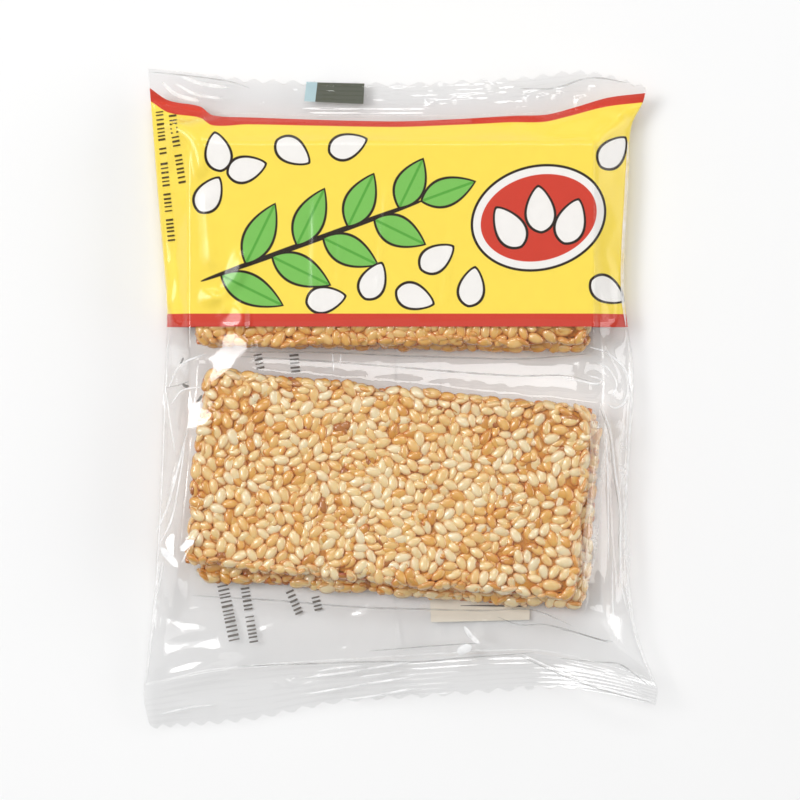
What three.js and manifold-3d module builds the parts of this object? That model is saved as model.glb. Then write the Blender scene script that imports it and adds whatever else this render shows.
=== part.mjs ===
// A sealed, clear flow-wrap pack that holds two stacks of sesame cookies (sesame snaps), in millimetres.
// The pack lies on its back panel. +X runs across it, +Y towards the end seal beside the printed band, +Z up.
// The origin is the middle of its footprint, on the surface it lies on.
// Film, air and cookies are one closed solid: an envelope of draped film with crimped end seals and a back
// seam, into which the stacks and the sesame seeds that show through the clear film are fused.

import * as THREE from "three";
import { mergeVertices } from "three/addons/utils/BufferGeometryUtils.js";
import Module from "manifold-3d";

const { clamp, degToRad, lerp, smoothstep } = THREE.MathUtils;

// ---- Driving dimensions ----

const SNAP = { length: 67.5, width: 33.4, thickness: 4.4, corner: 1.6 };
const LAYERS = 2;

// The middle of each stack's top snap, and its turn in degrees.
const UPPER_STACK = { x: -1.5, y: 26.0, turn: 0.3 };
const LOWER_STACK = { x: -1.3, y: -15.4, turn: -5.3 };

const SEED = { length: 3.1, width: 1.9, height: 1.3, pitch: 3.8, sunk: 0.25, sides: 5, rings: 3 };

const STACK_TOP = LAYERS * SNAP.thickness;
const FILM_SAG = 0.25; // how far the film lies below the snaps' own top face where it is fused to them
const EDGE_THICKNESS = 0.5; // the film's folded sides and sealed ends, thick enough to be a solid
const SIDE_Z = 3.7; // height of the folded side edges

const SEAL = { ribs: 6, ribHeight: 0.28, toothPitch: 3.3, toothDepth: 1.0 };
const BACK_SEAM = { left: -1, right: 7, thickness: 0.3, grooveWidth: 0.5, grooveDepth: 0.3 };
const BASE = { left: -36.8, right: 35.4, bottom: -35.6, top: 43.2 }; // the flat part of the back panel

// Outline of the pack, as [y, x] for its two long sides.
const LEFT_SIDE = [[-57.6, -43.6], [-51.4, -44.8], [-45.6, -44.2], [-35, -43.0], [-12, -41.7],
  [3.5, -41.2], [15, -40.6], [36, -42.2], [48, -43.1], [57.6, -43.8]];
const RIGHT_SIDE = [[-53, 44.4], [-50.1, 44.8], [-45.6, 43.0], [-38, 40.8], [-21, 39.6],
  [4, 40.7], [19, 39.0], [39, 39.8], [47.7, 40.3], [52.2, 42.4], [57.6, 43.2]];

// Lines across the pack, as [across, y] with across from -1 at the left side to 1 at the right side.
const BOTTOM_EDGE = [[-1, -57.6], [-0.6, -56.2], [-0.25, -53.2], [0.1, -52.0], [0.6, -50.4], [0.8, -51.1], [1, -53]];
const BOTTOM_SEAL = [[-1, -49.7], [-0.7, -47.0], [0, -45.0], [0.55, -44.0], [0.8, -46.2], [1, -49.0]];
const TOP_SEAL = [[-1, 52.0], [-0.75, 50.0], [0, 49.4], [0.55, 49.8], [1, 51.6]];
const TOP_EDGE = [[-1, 57.6], [-0.6, 56.2], [0, 55.6], [0.5, 56.6], [0.75, 57.6], [1, 54.8]];

// Heights of the same four lines above the surface.
const BOTTOM_EDGE_Z = [[-1, 1.2], [-0.4, 1.6], [0, 2.4], [0.5, 4.6], [0.8, 6.0], [1, 6.6]];
const BOTTOM_SEAL_Z = [[-1, 2.2], [0, 2.6], [0.6, 3.0], [1, 4.2]];
const TOP_SEAL_Z = [[-1, 3.6], [-0.5, 2.8], [0.5, 2.9], [1, 3.8]];
const TOP_EDGE_Z = [[-1, 5.0], [-0.5, 2.6], [0.2, 2.2], [0.7, 2.6], [1, 4.4]];

// Soft folds in the loose film, as the two ends of each one's ridge (x, y, x, y), its half width and its height.
const FOLDS = [
  [-37.2, 7.5, -41.0, -24, 2.6, 0.9],
  [-38.5, -24, -42.8, -44, 2.6, 0.8],
  [-36.5, 8.5, -27, 5.5, 2.4, 0.8],
  [35.5, 9.5, 39.5, 0, 2.6, 0.9],
  [36.2, -9, 37.6, -36, 2.0, 0.6],
  [-33, -36.5, -42.5, -48, 3.0, 0.9],
  [32, -38.5, 42.5, -48, 3.0, 1.0],
  [-8, -36.5, -14, -45, 3.2, 0.5],
  [14, -37.5, 12, -43.5, 3.2, 0.5],
  [-36.5, 45, -42.5, 51.5, 3.0, 0.8],
  [33.5, 45, 39.5, 50.5, 3.0, 0.8],
];

const COLUMNS = 26;
const BODY_ROWS = 28;
const ROWS_PER_RIB = 2;

// ---- Helpers ----

// A smooth function through [place, value] pairs, in rising order of place.
function through(points) {
  const slopes = points.map((_, i) => {
    const [x0, y0] = points[Math.max(i - 1, 0)];
    const [x1, y1] = points[Math.min(i + 1, points.length - 1)];
    return (y1 - y0) / (x1 - x0);
  });
  return (place) => {
    let i = 0;
    while (i < points.length - 2 && place > points[i + 1][0]) i++;
    const [x0, y0] = points[i];
    const [x1, y1] = points[i + 1];
    const span = x1 - x0;
    const t = clamp((place - x0) / span, 0, 1);
    const late = t * t * (3 - 2 * t);
    const bend = t * (1 - t) * ((1 - t) * slopes[i] - t * slopes[i + 1]) * span;
    return y0 + (y1 - y0) * late + bend;
  };
}

function smoothMin(a, b, reach) {
  const h = Math.max(reach - Math.abs(a - b), 0) / reach;
  return Math.min(a, b) - (h * h * reach) / 4;
}

// A small seeded draw of numbers from 0 to 1, the same on every run.
function seededDraw(seed) {
  let state = seed;
  return () => {
    state = (state * 1664525 + 1013904223) % 4294967296;
    return state / 4294967296;
  };
}

const wasm = await Module();
wasm.setup();

function solidOf(geometry) {
  const bare = geometry.index ? geometry.toNonIndexed() : geometry.clone();
  bare.deleteAttribute("normal");
  bare.deleteAttribute("uv");
  const merged = mergeVertices(bare, 1e-4);
  return new wasm.Manifold(new wasm.Mesh({
    numProp: 3,
    vertProperties: merged.attributes.position.array,
    triVerts: new Uint32Array(merged.index.array),
  }));
}

function geometryOf(solid) {
  const mesh = solid.getMesh();
  const geometry = new THREE.BufferGeometry();
  geometry.setAttribute("position", new THREE.BufferAttribute(new Float32Array(mesh.vertProperties), 3));
  geometry.setIndex(new THREE.BufferAttribute(new Uint32Array(mesh.triVerts), 1));
  return geometry;
}

// A closed solid between two grids of points that have the same rows and columns.
function solidBetween(upper, lower) {
  const rows = upper.length;
  const columns = upper[0].length;
  const positions = [...upper.flat(), ...lower.flat()].flat();
  const top = (r, c) => r * columns + c;
  const low = (r, c) => rows * columns + r * columns + c;
  const triangles = [];
  const quad = (a, b, c, d) => triangles.push(a, b, c, a, c, d);
  for (let r = 0; r < rows - 1; r++) {
    for (let c = 0; c < columns - 1; c++) {
      quad(top(r, c), top(r, c + 1), top(r + 1, c + 1), top(r + 1, c));
      quad(low(r, c), low(r + 1, c), low(r + 1, c + 1), low(r, c + 1));
    }
    quad(top(r, 0), top(r + 1, 0), low(r + 1, 0), low(r, 0));
    quad(top(r + 1, columns - 1), top(r, columns - 1), low(r, columns - 1), low(r + 1, columns - 1));
  }
  for (let c = 0; c < columns - 1; c++) {
    quad(top(0, c + 1), top(0, c), low(0, c), low(0, c + 1));
    quad(top(rows - 1, c), top(rows - 1, c + 1), low(rows - 1, c + 1), low(rows - 1, c));
  }
  const geometry = new THREE.BufferGeometry();
  geometry.setAttribute("position", new THREE.BufferAttribute(new Float32Array(positions), 3));
  geometry.setIndex(triangles);
  return solidOf(geometry);
}

// ---- The film envelope ----

const leftX = through(LEFT_SIDE);
const rightX = through(RIGHT_SIDE);
const bottomEdgeY = through(BOTTOM_EDGE);
const bottomSealY = through(BOTTOM_SEAL);
const topSealY = through(TOP_SEAL);
const topEdgeY = through(TOP_EDGE);
const bottomEdgeZ = through(BOTTOM_EDGE_Z);
const bottomSealZ = through(BOTTOM_SEAL_Z);
const topSealZ = through(TOP_SEAL_Z);
const topEdgeZ = through(TOP_EDGE_Z);

const acrossToX = (across, y) => lerp(leftX(y), rightX(y), (across + 1) / 2);
const xToAcross = (x, y) => (2 * (x - leftX(y))) / (rightX(y) - leftX(y)) - 1;

// How far a point lies outside a stack's top snap, in plan.
function outsideStack(stack, x, y) {
  const turn = degToRad(stack.turn);
  const dx = x - stack.x;
  const dy = y - stack.y;
  const along = Math.abs(dx * Math.cos(turn) + dy * Math.sin(turn)) - SNAP.length / 2;
  const aside = Math.abs(dy * Math.cos(turn) - dx * Math.sin(turn)) - SNAP.width / 2;
  return Math.hypot(Math.max(along, 0), Math.max(aside, 0));
}

// The added height of the film's folds at a point.
function foldHeight(x, y) {
  return FOLDS.reduce((sum, [x0, y0, x1, y1, halfWidth, height]) => {
    const share = ((x - x0) * (x1 - x0) + (y - y0) * (y1 - y0)) / ((x1 - x0) ** 2 + (y1 - y0) ** 2);
    const at = clamp(share, 0, 1);
    const away = Math.hypot(x - lerp(x0, x1, at), y - lerp(y0, y1, at)) / halfWidth;
    return sum + height * Math.max(1 - away * away, 0) ** 2;
  }, 0);
}

function outsideBase(x, y) {
  return Math.hypot(Math.max(BASE.left - x, x - BASE.right, 0), Math.max(BASE.bottom - y, y - BASE.top, 0));
}

// The height of the film's folded edge that would pass under a point, between the two end seals.
function middleZ(across, y) {
  const fromBottom = y - bottomSealY(across);
  const fromTop = topSealY(across) - y;
  const reach = 14;
  const atBottom = lerp(bottomSealZ(across), SIDE_Z, smoothstep(fromBottom, 0, reach));
  return lerp(topSealZ(across), atBottom, smoothstep(fromTop, 0, reach));
}

// Upper and lower height of the film at a point of the body.
function bodyHeights(across, y) {
  const x = acrossToX(across, y);
  const toSide = smoothMin(x - leftX(y), rightX(y) - x, 2);
  const toEnd = smoothMin(y - bottomSealY(across), topSealY(across) - y, 2);
  const toRim = Math.max(smoothMin(toSide, toEnd, 2.5), 0);
  const outside = smoothMin(outsideStack(UPPER_STACK, x, y), outsideStack(LOWER_STACK, x, y), 1);
  const middle = middleZ(across, y);
  const heldBy = (distance) => (distance > 0 ? toRim / (toRim + distance) : 1);
  const held = heldBy(outside);
  const loose = Math.min(4 * held * (1 - held), 1);
  return [
    lerp(middle + EDGE_THICKNESS / 2, STACK_TOP - FILM_SAG, held) + foldHeight(x, y) * loose,
    lerp(middle - EDGE_THICKNESS / 2, 0, heldBy(outsideBase(x, y))),
  ];
}

// A seal's sheet from its line on the body (share 0) to the cut edge (share 1), with crimped ribs.
function sealHeights(across, share, sealZ, edgeZ) {
  const middle = lerp(sealZ(across), edgeZ(across), share);
  const rib = SEAL.ribHeight * Math.sin(Math.PI * SEAL.ribs * share) ** 2;
  return [middle + EDGE_THICKNESS / 2 + rib, middle - EDGE_THICKNESS / 2];
}

function filmEnvelope() {
  const columns = Array.from({ length: COLUMNS + 1 }, (_, c) => {
    const even = (2 * c) / COLUMNS - 1;
    return Math.sin((Math.PI / 2) * even * 0.72) / Math.sin((Math.PI / 2) * 0.72); // closer towards the sides
  });
  const sealRows = SEAL.ribs * ROWS_PER_RIB;
  const upper = [];
  const lower = [];
  const addRow = (place) => {
    const points = columns.map(place);
    upper.push(points.map(([x, y, [high]]) => [x, y, high]));
    lower.push(points.map(([x, y, [, low]]) => [x, y, low]));
  };
  const addSealRow = (share, sealY, edgeY, sealZ, edgeZ) => addRow((across) => {
    const y = lerp(sealY(across), edgeY(across), share);
    return [acrossToX(across, y), y, sealHeights(across, share, sealZ, edgeZ)];
  });
  for (let r = 0; r < sealRows; r++)
    addSealRow(1 - r / sealRows, bottomSealY, bottomEdgeY, bottomSealZ, bottomEdgeZ);
  for (let r = 0; r <= BODY_ROWS; r++) addRow((across) => {
    const y = lerp(bottomSealY(across), topSealY(across), r / BODY_ROWS);
    return [acrossToX(across, y), y, bodyHeights(across, y)];
  });
  for (let r = 1; r <= sealRows; r++)
    addSealRow(r / sealRows, topSealY, topEdgeY, topSealZ, topEdgeZ);
  return solidBetween(upper, lower);
}

// The lapped seam that runs down the back panel. Where the snaps press it flat only the grooves along its edges
// show, and it stands out where the film rises to an end seal. This is that end, from y to inside the flat part.
function seamEnd(sealLine, flatLine) {
  const steps = 8;
  const ys = Array.from({ length: steps + 1 }, (_, i) => lerp(sealLine, flatLine, i / steps)).sort((a, b) => a - b);
  const edge = (y, place) => [BACK_SEAM.left, BACK_SEAM.right].map((x) => {
    const [, low] = bodyHeights(xToAcross(x, y), y);
    return [x, y, place(low)];
  });
  return solidBetween(
    ys.map((y) => edge(y, (low) => low + 0.4)),
    ys.map((y) => edge(y, (low) => Math.max(low - BACK_SEAM.thickness, 0.06))),
  );
}

// The shallow groove along one edge of the back seam, to be taken away from the flat back.
function seamGroove(x) {
  const length = BASE.top - BASE.bottom;
  const { grooveWidth, grooveDepth } = BACK_SEAM;
  return solidOf(new THREE.BoxGeometry(grooveWidth, length, 2 * grooveDepth)
    .translate(x, (BASE.top + BASE.bottom) / 2, 0));
}

// The zigzag that the knife leaves along a seal's cut edge, as one row of notches to take away.
function notches(edgeY, outwards) {
  const count = Math.floor((rightX(0) - leftX(0) + 6) / SEAL.toothPitch);
  const height = 20;
  let all = null;
  for (let i = 0; i <= count; i++) {
    const across = (2 * i) / count - 1;
    const y = edgeY(across);
    const x = acrossToX(across, y);
    const tip = new THREE.Shape([
      new THREE.Vector2(x, y - outwards * SEAL.toothDepth),
      new THREE.Vector2(x + (outwards * SEAL.toothPitch) / 2, y + outwards * 0.6),
      new THREE.Vector2(x - (outwards * SEAL.toothPitch) / 2, y + outwards * 0.6),
    ]);
    const notch = solidOf(new THREE.ExtrudeGeometry(tip, { depth: height, bevelEnabled: false })
      .translate(0, 0, -height / 4));
    all = all ? all.add(notch) : notch;
  }
  return all;
}

// ---- The cookies ----

// Places a point given in a stack's own directions.
function placeOf(stack) {
  return new THREE.Matrix4().makeRotationZ(degToRad(stack.turn)).setPosition(stack.x, stack.y, 0);
}

// The top snap of a stack. Those below it are inside the film's solid.
function snapSlab(stack) {
  const [w, h, r] = [SNAP.length / 2, SNAP.width / 2, SNAP.corner];
  const plan = new THREE.Shape()
    .moveTo(-w + r, -h)
    .lineTo(w - r, -h)
    .quadraticCurveTo(w, -h, w, -h + r)
    .lineTo(w, h - r)
    .quadraticCurveTo(w, h, w - r, h)
    .lineTo(-w + r, h)
    .quadraticCurveTo(-w, h, -w, h - r)
    .lineTo(-w, -h + r)
    .quadraticCurveTo(-w, -h, -w + r, -h);
  const slab = new THREE.ExtrudeGeometry(plan, { depth: SNAP.thickness, bevelEnabled: false, curveSegments: 3 });
  slab.translate(0, 0, STACK_TOP - SNAP.thickness);
  return solidOf(slab.applyMatrix4(placeOf(stack)));
}

// One seed: a low-sided drop, pointed at one end.
function seedGeometry(size) {
  const geometry = new THREE.SphereGeometry(1, SEED.sides, SEED.rings);
  geometry.rotateZ(Math.PI / 2);
  const position = geometry.attributes.position;
  for (let i = 0; i < position.count; i++) {
    const x = position.getX(i);
    const slim = 1 - 0.3 * x;
    position.setXYZ(
      i,
      (x * SEED.length * size) / 2,
      (position.getY(i) * slim * SEED.width * size) / 2,
      (position.getZ(i) * slim * SEED.height * size) / 2,
    );
  }
  return geometry;
}

// Seeds pressed into the top face of a stack, over the strip of it between two shares of its width.
function seedsOn(stack, fromShare, toShare, seed) {
  const draw = seededDraw(seed);
  const spanX = SNAP.length - SEED.length;
  const spanY = SNAP.width - SEED.width;
  const columns = Math.floor(spanX / SEED.pitch);
  const rows = Math.max(1, Math.round((spanY * (toShare - fromShare)) / (SEED.pitch * 0.9)));
  const seeds = [];
  for (let r = 0; r < rows; r++)
    for (let c = 0; c <= columns; c++) {
      const x = (c + 0.5 + (draw() - 0.5) * 0.5 + (r % 2 ? -0.25 : 0.25)) / (columns + 1) - 0.5;
      const y = lerp(fromShare, toShare, (r + 0.5 + (draw() - 0.5) * 0.4) / rows) - 0.5;
      const turned = seedGeometry(lerp(0.88, 1.12, draw()))
        .rotateX((draw() - 0.5) * 0.7)
        .rotateZ(draw() * Math.PI * 2)
        .translate(x * spanX, y * spanY, STACK_TOP - SEED.sunk + (draw() - 0.5) * 0.2)
        .applyMatrix4(placeOf(stack));
      seeds.push(solidOf(turned));
    }
  return seeds;
}

// ---- The pack ----

function sealedPack() {
  const printedEdgeShare = 0.12; // the part of the upper stack that the printed band leaves in view
  const pieces = [
    filmEnvelope(),
    seamEnd(bottomSealY(0) + 1, BASE.bottom + 2),
    seamEnd(topSealY(0) - 1, BASE.top - 2),
    snapSlab(LOWER_STACK),
    ...seedsOn(LOWER_STACK, 0, 1, 7),
    ...seedsOn(UPPER_STACK, 0, printedEdgeShare, 11),
  ];
  return wasm.Manifold.union(pieces)
    .subtract(seamGroove(BACK_SEAM.left))
    .subtract(seamGroove(BACK_SEAM.right))
    .subtract(notches(bottomEdgeY, -1))
    .subtract(notches(topEdgeY, 1));
}

const clearFilm = new THREE.MeshStandardMaterial({ color: 0xe9d3a0, roughness: 0.25, metalness: 0 });
const pack = new THREE.Mesh(geometryOf(sealedPack()), clearFilm);
pack.name = "sesame_cookie_pack";

const model = new THREE.Group();
model.add(pack);

export default model;
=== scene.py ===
# %% [markdown]
# # A sealed pack of sesame snaps
# Thin oblong biscuits of sesame seeds held in boiled syrup lie two deep in two stacks, inside a clear film
# pillow pack that lies on a white table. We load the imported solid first, because every piece has to stay in
# its place. The rest of the lesson then makes the seeds, the syrup, the film and the print that it stands for.

# %% Load the solid
import math

import bmesh
import bpy
import numpy as np
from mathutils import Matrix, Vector, geometry, noise


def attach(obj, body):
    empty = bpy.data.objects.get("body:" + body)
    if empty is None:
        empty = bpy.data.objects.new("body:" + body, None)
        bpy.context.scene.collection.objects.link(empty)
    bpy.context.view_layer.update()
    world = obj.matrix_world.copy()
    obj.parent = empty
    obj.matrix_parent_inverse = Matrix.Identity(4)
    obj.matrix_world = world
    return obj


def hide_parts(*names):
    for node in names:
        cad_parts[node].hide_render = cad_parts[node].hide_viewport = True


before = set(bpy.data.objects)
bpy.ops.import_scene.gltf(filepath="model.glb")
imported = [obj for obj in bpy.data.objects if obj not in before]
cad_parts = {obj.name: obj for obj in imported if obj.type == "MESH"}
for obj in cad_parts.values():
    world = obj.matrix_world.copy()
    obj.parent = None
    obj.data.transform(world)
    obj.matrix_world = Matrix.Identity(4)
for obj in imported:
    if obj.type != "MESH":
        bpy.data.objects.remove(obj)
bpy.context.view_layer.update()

# %% [markdown]
# Every size below is in millimetres, as on a drawing of the pack, and the helpers turn them into metres when
# they make a mesh. Screen colours are written as hex values and have to be made linear before a shader uses them.
# One function adds any node with its settings, values and links, which keeps each material short to read.

# %% Helpers for units, colours, meshes and nodes
MM = 0.001


def linear(hex_colour):
    parts = [int(hex_colour[i:i + 2], 16) / 255 for i in (1, 3, 5)]
    return [p / 12.92 if p <= 0.04045 else ((p + 0.055) / 1.055) ** 2.4 for p in parts] + [1.0]


def add_node(tree, kind, settings=None, values=None, links=None):
    node = tree.nodes.new(kind)
    for name, value in (settings or {}).items():
        setattr(node, name, value)
    for socket, value in (values or {}).items():
        node.inputs[socket].default_value = value
    for socket, source in (links or {}).items():
        tree.links.new(source, node.inputs[socket])
    return node


def new_material(name):
    material = bpy.data.materials.new(name)
    material.use_nodes = True
    material.node_tree.nodes.clear()
    return material, material.node_tree


def mesh_from(name, points_mm, faces, smooth=True):
    mesh = bpy.data.meshes.new(name)
    mesh.from_pydata((np.asarray(points_mm, float) * MM).tolist(), [], faces)
    mesh.validate()
    if smooth:
        mesh.shade_smooth()
    piece = bpy.data.objects.new(name, mesh)
    bpy.context.scene.collection.objects.link(piece)
    return piece


def write_attribute(piece, name, values, kind="FLOAT"):
    attribute = piece.data.attributes.new(name, kind, "POINT")
    attribute.data.foreach_set("vector" if kind == "FLOAT_VECTOR" else "value", np.asarray(values, float).ravel())


def smooth_step(value):
    t = np.clip(value, 0, 1)
    return t * t * (3 - 2 * t)


def through(points):
    """A smooth function of an array, through [place, value] pairs."""
    xs, ys = (np.array(v, float) for v in zip(*points))
    last = len(xs) - 1
    order = np.arange(last + 1)
    before, after = np.maximum(order - 1, 0), np.minimum(order + 1, last)
    slopes = (ys[after] - ys[before]) / (xs[after] - xs[before])

    def at(place):
        place = np.asarray(place, float)
        i = np.clip(np.searchsorted(xs, place) - 1, 0, last - 1)
        span = xs[i + 1] - xs[i]
        t = np.clip((place - xs[i]) / span, 0, 1)
        bend = t * (1 - t) * ((1 - t) * slopes[i] - t * slopes[i + 1]) * span
        return ys[i] + (ys[i + 1] - ys[i]) * t * t * (3 - 2 * t) + bend

    return at


print("a seed is 3 mm long, which is", 3 * MM, "m")

# %% [markdown]
# The camera looks straight down from 0.8 m through a long lens, so that the pack shows without perspective. The
# light is that of a product table. A broad soft box at the upper left has a hot core, a strip hangs behind the
# top, and white cards stand low round three sides, where the film that falls to the rims mirrors them. Film shows
# mostly by what it mirrors, so the surround is rather dark. A last box fills shadows from beside the camera, and
# is hidden from mirrors, as a photographer would do with a polarising sheet on the lamp. The table is a sheet of
# white laminate, matt enough to mirror nothing.

# %% Camera, lights and table
PIXELS_PER_MM = 5.75
PICTURE_WIDTH = 800  # in pixels
SENSOR_WIDTH = 36.0
CAMERA_HEIGHT = 800.0
FILM_MIDDLE = 4.5  # the height at which the scale holds

lens = bpy.data.cameras.new("camera")
lens.sensor_width = SENSOR_WIDTH
lens.lens = PIXELS_PER_MM * SENSOR_WIDTH * (CAMERA_HEIGHT - FILM_MIDDLE) / PICTURE_WIDTH
lens.clip_start = 0.01
camera = bpy.data.objects.new("camera", lens)
camera.location = (0, 0, CAMERA_HEIGHT * MM)
bpy.context.scene.collection.objects.link(camera)
bpy.context.scene.camera = camera


def soft_box(name, place, size, radiance, mirrored=True):
    """An area light that faces the pack, in metres; radiance is how bright it looks beside a white page."""
    light = bpy.data.lights.new(name, "AREA")
    light.shape = "RECTANGLE"
    light.size, light.size_y = size
    light.energy = radiance * math.pi * size[0] * size[1]
    lamp = bpy.data.objects.new(name, light)
    lamp.visible_glossy = mirrored
    lamp.location = place
    lamp.rotation_euler = (-Vector(place)).to_track_quat("-Z", "Y").to_euler()
    bpy.context.scene.collection.objects.link(lamp)
    return light.energy


KEY_PLACE = (-0.98, 0.26, 1.22)
SURROUND = 0.13  # how bright the room is round the lamps
TABLE_REACH = 1500
boxes = [
    soft_box("key_core", KEY_PLACE, (0.54, 0.54), 8.4),
    soft_box("key_halo", (-0.90, 0.24, 1.27), (0.95, 0.95), 1.6),
    soft_box("top_strip", (0.00, 1.05, 1.20), (0.92, 0.38), 4.6),
    soft_box("top_card", (0.10, 1.50, 0.60), (1.80, 0.60), 0.7),
    soft_box("left_card", (-1.50, 0.08, 0.57), (1.50, 0.68), 0.6),
    soft_box("right_card", (1.50, 0.08, 0.57), (1.50, 0.68), 3.2),
    soft_box("overhead", (0.05, 0.00, 1.95), (1.80, 1.80), 0.3),
    soft_box("shadow_fill", (0.00, 0.00, 1.95), (1.05, 1.05), 1.7, False),
]

world = bpy.data.worlds.new("studio")
world.use_nodes = True
room = world.node_tree.nodes["Background"].inputs
room["Color"].default_value = (1, 1, 1, 1)
room["Strength"].default_value = SURROUND
bpy.context.scene.world = world
bpy.context.scene.view_settings.view_transform = "Standard"
bpy.context.scene.cycles.transparent_max_bounces = 24  # light passes many sheets of film on its way in and out

table_material, tree = new_material("white_table_laminate")
shader = add_node(tree, "ShaderNodeBsdfPrincipled", values={"Base Color": linear("#FAFAFA"), "Roughness": 0.6})
add_node(tree, "ShaderNodeOutputMaterial", links={"Surface": shader.outputs[0]})
table = mesh_from("table", [(x * TABLE_REACH, y * TABLE_REACH, 0) for x, y in ((-1, -1), (1, -1), (1, 1), (-1, 1))],
                  [(0, 1, 2, 3)], False)
table.data.materials.append(table_material)
print("lens of", round(lens.lens, 1), "mm; soft boxes of", [round(w, 1) for w in boxes], "W")

# %% [markdown]
# Each stack is two snaps. The one below is slid and turned a little, as the photo shows at the right and lower
# left. They stand on the back film, and the seeds reach a little past the syrup on every side.

# %% Where the snaps lie
SNAP_LENGTH, SNAP_WIDTH, SNAP_THICKNESS = 67.5, 33.4, 4.3
SNAP_CORNER = 2.4  # radius, seen from above
FLOOR_Z = 0.25  # of the lower snaps, over the back film
STACKS = {  # the snap below, then the one on top: middle x and y, and turn in degrees
    "upper": [(-0.6, 25.9, -0.9), (-1.5, 26.5, 0.0)],
    "lower": [(-0.2, -17.0, -4.3), (-1.9, -14.75, -5.6)],
}
SEED_LENGTH, SEED_WIDTH, SEED_HEIGHT = 3.1, 2.0, 1.15
SEED_PITCH, RIM_PITCH = 1.93, 2.0  # each seed has a square of this width to itself


def placed(points, place, floor_z):
    """Turns points of a snap, given from its middle and its underside, into the pack's frame."""
    x, y, turn = place[0], place[1], math.radians(place[2])
    points = np.asarray(points, float)
    return np.column_stack([
        x + points[:, 0] * math.cos(turn) - points[:, 1] * math.sin(turn),
        y + points[:, 0] * math.sin(turn) + points[:, 1] * math.cos(turn),
        floor_z + points[:, 2],
    ])


def inside_snap(x, y):
    """Distance in from the rounded outline of a snap, and the direction out."""
    core = Vector((SNAP_LENGTH / 2 - SNAP_CORNER, SNAP_WIDTH / 2 - SNAP_CORNER))
    dx, dy = abs(x) - core.x, abs(y) - core.y
    beyond = max(dx, dy) > 0
    out = Vector((max(dx, 0), max(dy, 0))) if beyond else Vector((dx > dy, dx <= dy))
    past = out.length if beyond else max(dx, dy)
    out.normalize()
    return SNAP_CORNER - past, Vector((math.copysign(out.x, x), math.copysign(out.y, y), 0))


print("stacks:", {name: len(snaps) for name, snaps in STACKS.items()}, "middle:", inside_snap(0, 0))

# %% [markdown]
# Sesame seeds are flat drops with one round and one pointed end. One seed is made as rings of points round its
# long axis, wide near the round end and drawn in to the tip. Thousands of copies follow, so it has only forty
# or so faces and relies on smooth shading. A value named crown is one on its top and minus one underneath.

# %% One seed
SEED_SIDES = 8
SEED_RINGS = [(-0.9, 0.5), (-0.6, 0.86), (-0.15, 1.0), (0.36, 0.86), (0.78, 0.47)]  # place along, and fullness


def make_seed():
    sides, rings = SEED_SIDES, SEED_RINGS
    points, crown = [(-SEED_LENGTH / 2, 0, 0)], [0.0]
    for along, full in rings:
        for s in range(sides):
            angle = 2 * math.pi * (s + 0.5) / sides
            points.append((
                along * SEED_LENGTH / 2,
                full * math.cos(angle) * SEED_WIDTH / 2,
                full ** 0.75 * math.sin(angle) * SEED_HEIGHT / 2,
            ))
            crown.append(math.sin(angle) * full)
    points.append((SEED_LENGTH / 2, 0, 0))
    crown.append(0.0)
    last = len(points) - 1
    faces = [(0, 1 + (s + 1) % sides, 1 + s) for s in range(sides)]
    for r in range(len(rings) - 1):
        for s in range(sides):
            a, b = 1 + r * sides + s, 1 + r * sides + (s + 1) % sides
            faces.append((a, b, b + sides, a + sides))
    first = 1 + (len(rings) - 1) * sides
    faces += [(last, first + s, first + (s + 1) % sides) for s in range(sides)]
    seed = mesh_from("one_seed", points, faces)
    write_attribute(seed, "crown", crown)
    return seed


one_seed = make_seed()
seed_check = bmesh.new()
seed_check.from_mesh(one_seed.data)
volume = seed_check.calc_volume(signed=True) / MM ** 3
print("seed faces:", len(one_seed.data.polygons), "volume in mm3:", round(volume, 2))
seed_check.free()

# %% [markdown]
# In a rolled sheet the seeds lie flat and shoulder to shoulder, like a pebble floor. Random places alone leave
# holes and pile-ups, so each seed is treated as three discs in a row, and the discs push each other apart for a
# few dozen rounds. Seeds turn as they are pushed, so long sides end up beside long sides.

# %% Settling seeds side by side
DISC_PLACES = np.array([-0.68, 0.1, 0.86])  # along the seed, from its middle
DISC_RADII = np.array([0.80, 0.88, 0.54])
PUSH = 0.3  # share of an overlap that one round undoes


def settle(width, depth, pitch, seed, rounds=45):
    """Places (x, y), turns and sizes of seeds that fill a rectangle about its middle."""
    draw = np.random.default_rng(seed)
    count = int(width * depth / pitch ** 2)
    place = draw.uniform(-0.5, 0.5, (count, 2)) * (width, depth)
    turn = draw.uniform(0, 2 * math.pi, count)
    size = np.clip(draw.normal(1.0, 0.08, count), 0.82, 1.18)
    owner = np.repeat(np.arange(count), 3)
    other = owner[:, None] != owner[None, :]
    reach = np.outer(size, DISC_RADII).ravel()
    limit = np.array([width, depth]) / 2 - 0.4
    for _ in range(rounds):
        ways = np.column_stack([np.cos(turn), np.sin(turn)])
        arms = (DISC_PLACES[None, :, None] * size[:, None, None] * ways[:, None, :]).reshape(-1, 2)
        discs = np.repeat(place, 3, axis=0) + arms
        apart = discs[:, None, :] - discs[None, :, :]
        gap = np.sqrt((apart ** 2).sum(2)) + 1e-6
        deep = np.where(other, np.clip(reach[:, None] + reach[None, :] - gap, 0, None), 0)
        push = (apart / gap[:, :, None] * deep[:, :, None]).sum(1) * PUSH
        push += np.clip(discs, -limit, limit) - discs
        place += push.reshape(count, 3, 2).sum(1) * 0.5
        swing = (arms[:, 0] * push[:, 1] - arms[:, 1] * push[:, 0]).reshape(count, 3).sum(1)
        turn += np.clip(swing * 0.5, -0.3, 0.3)
    return place, turn, size


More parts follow.
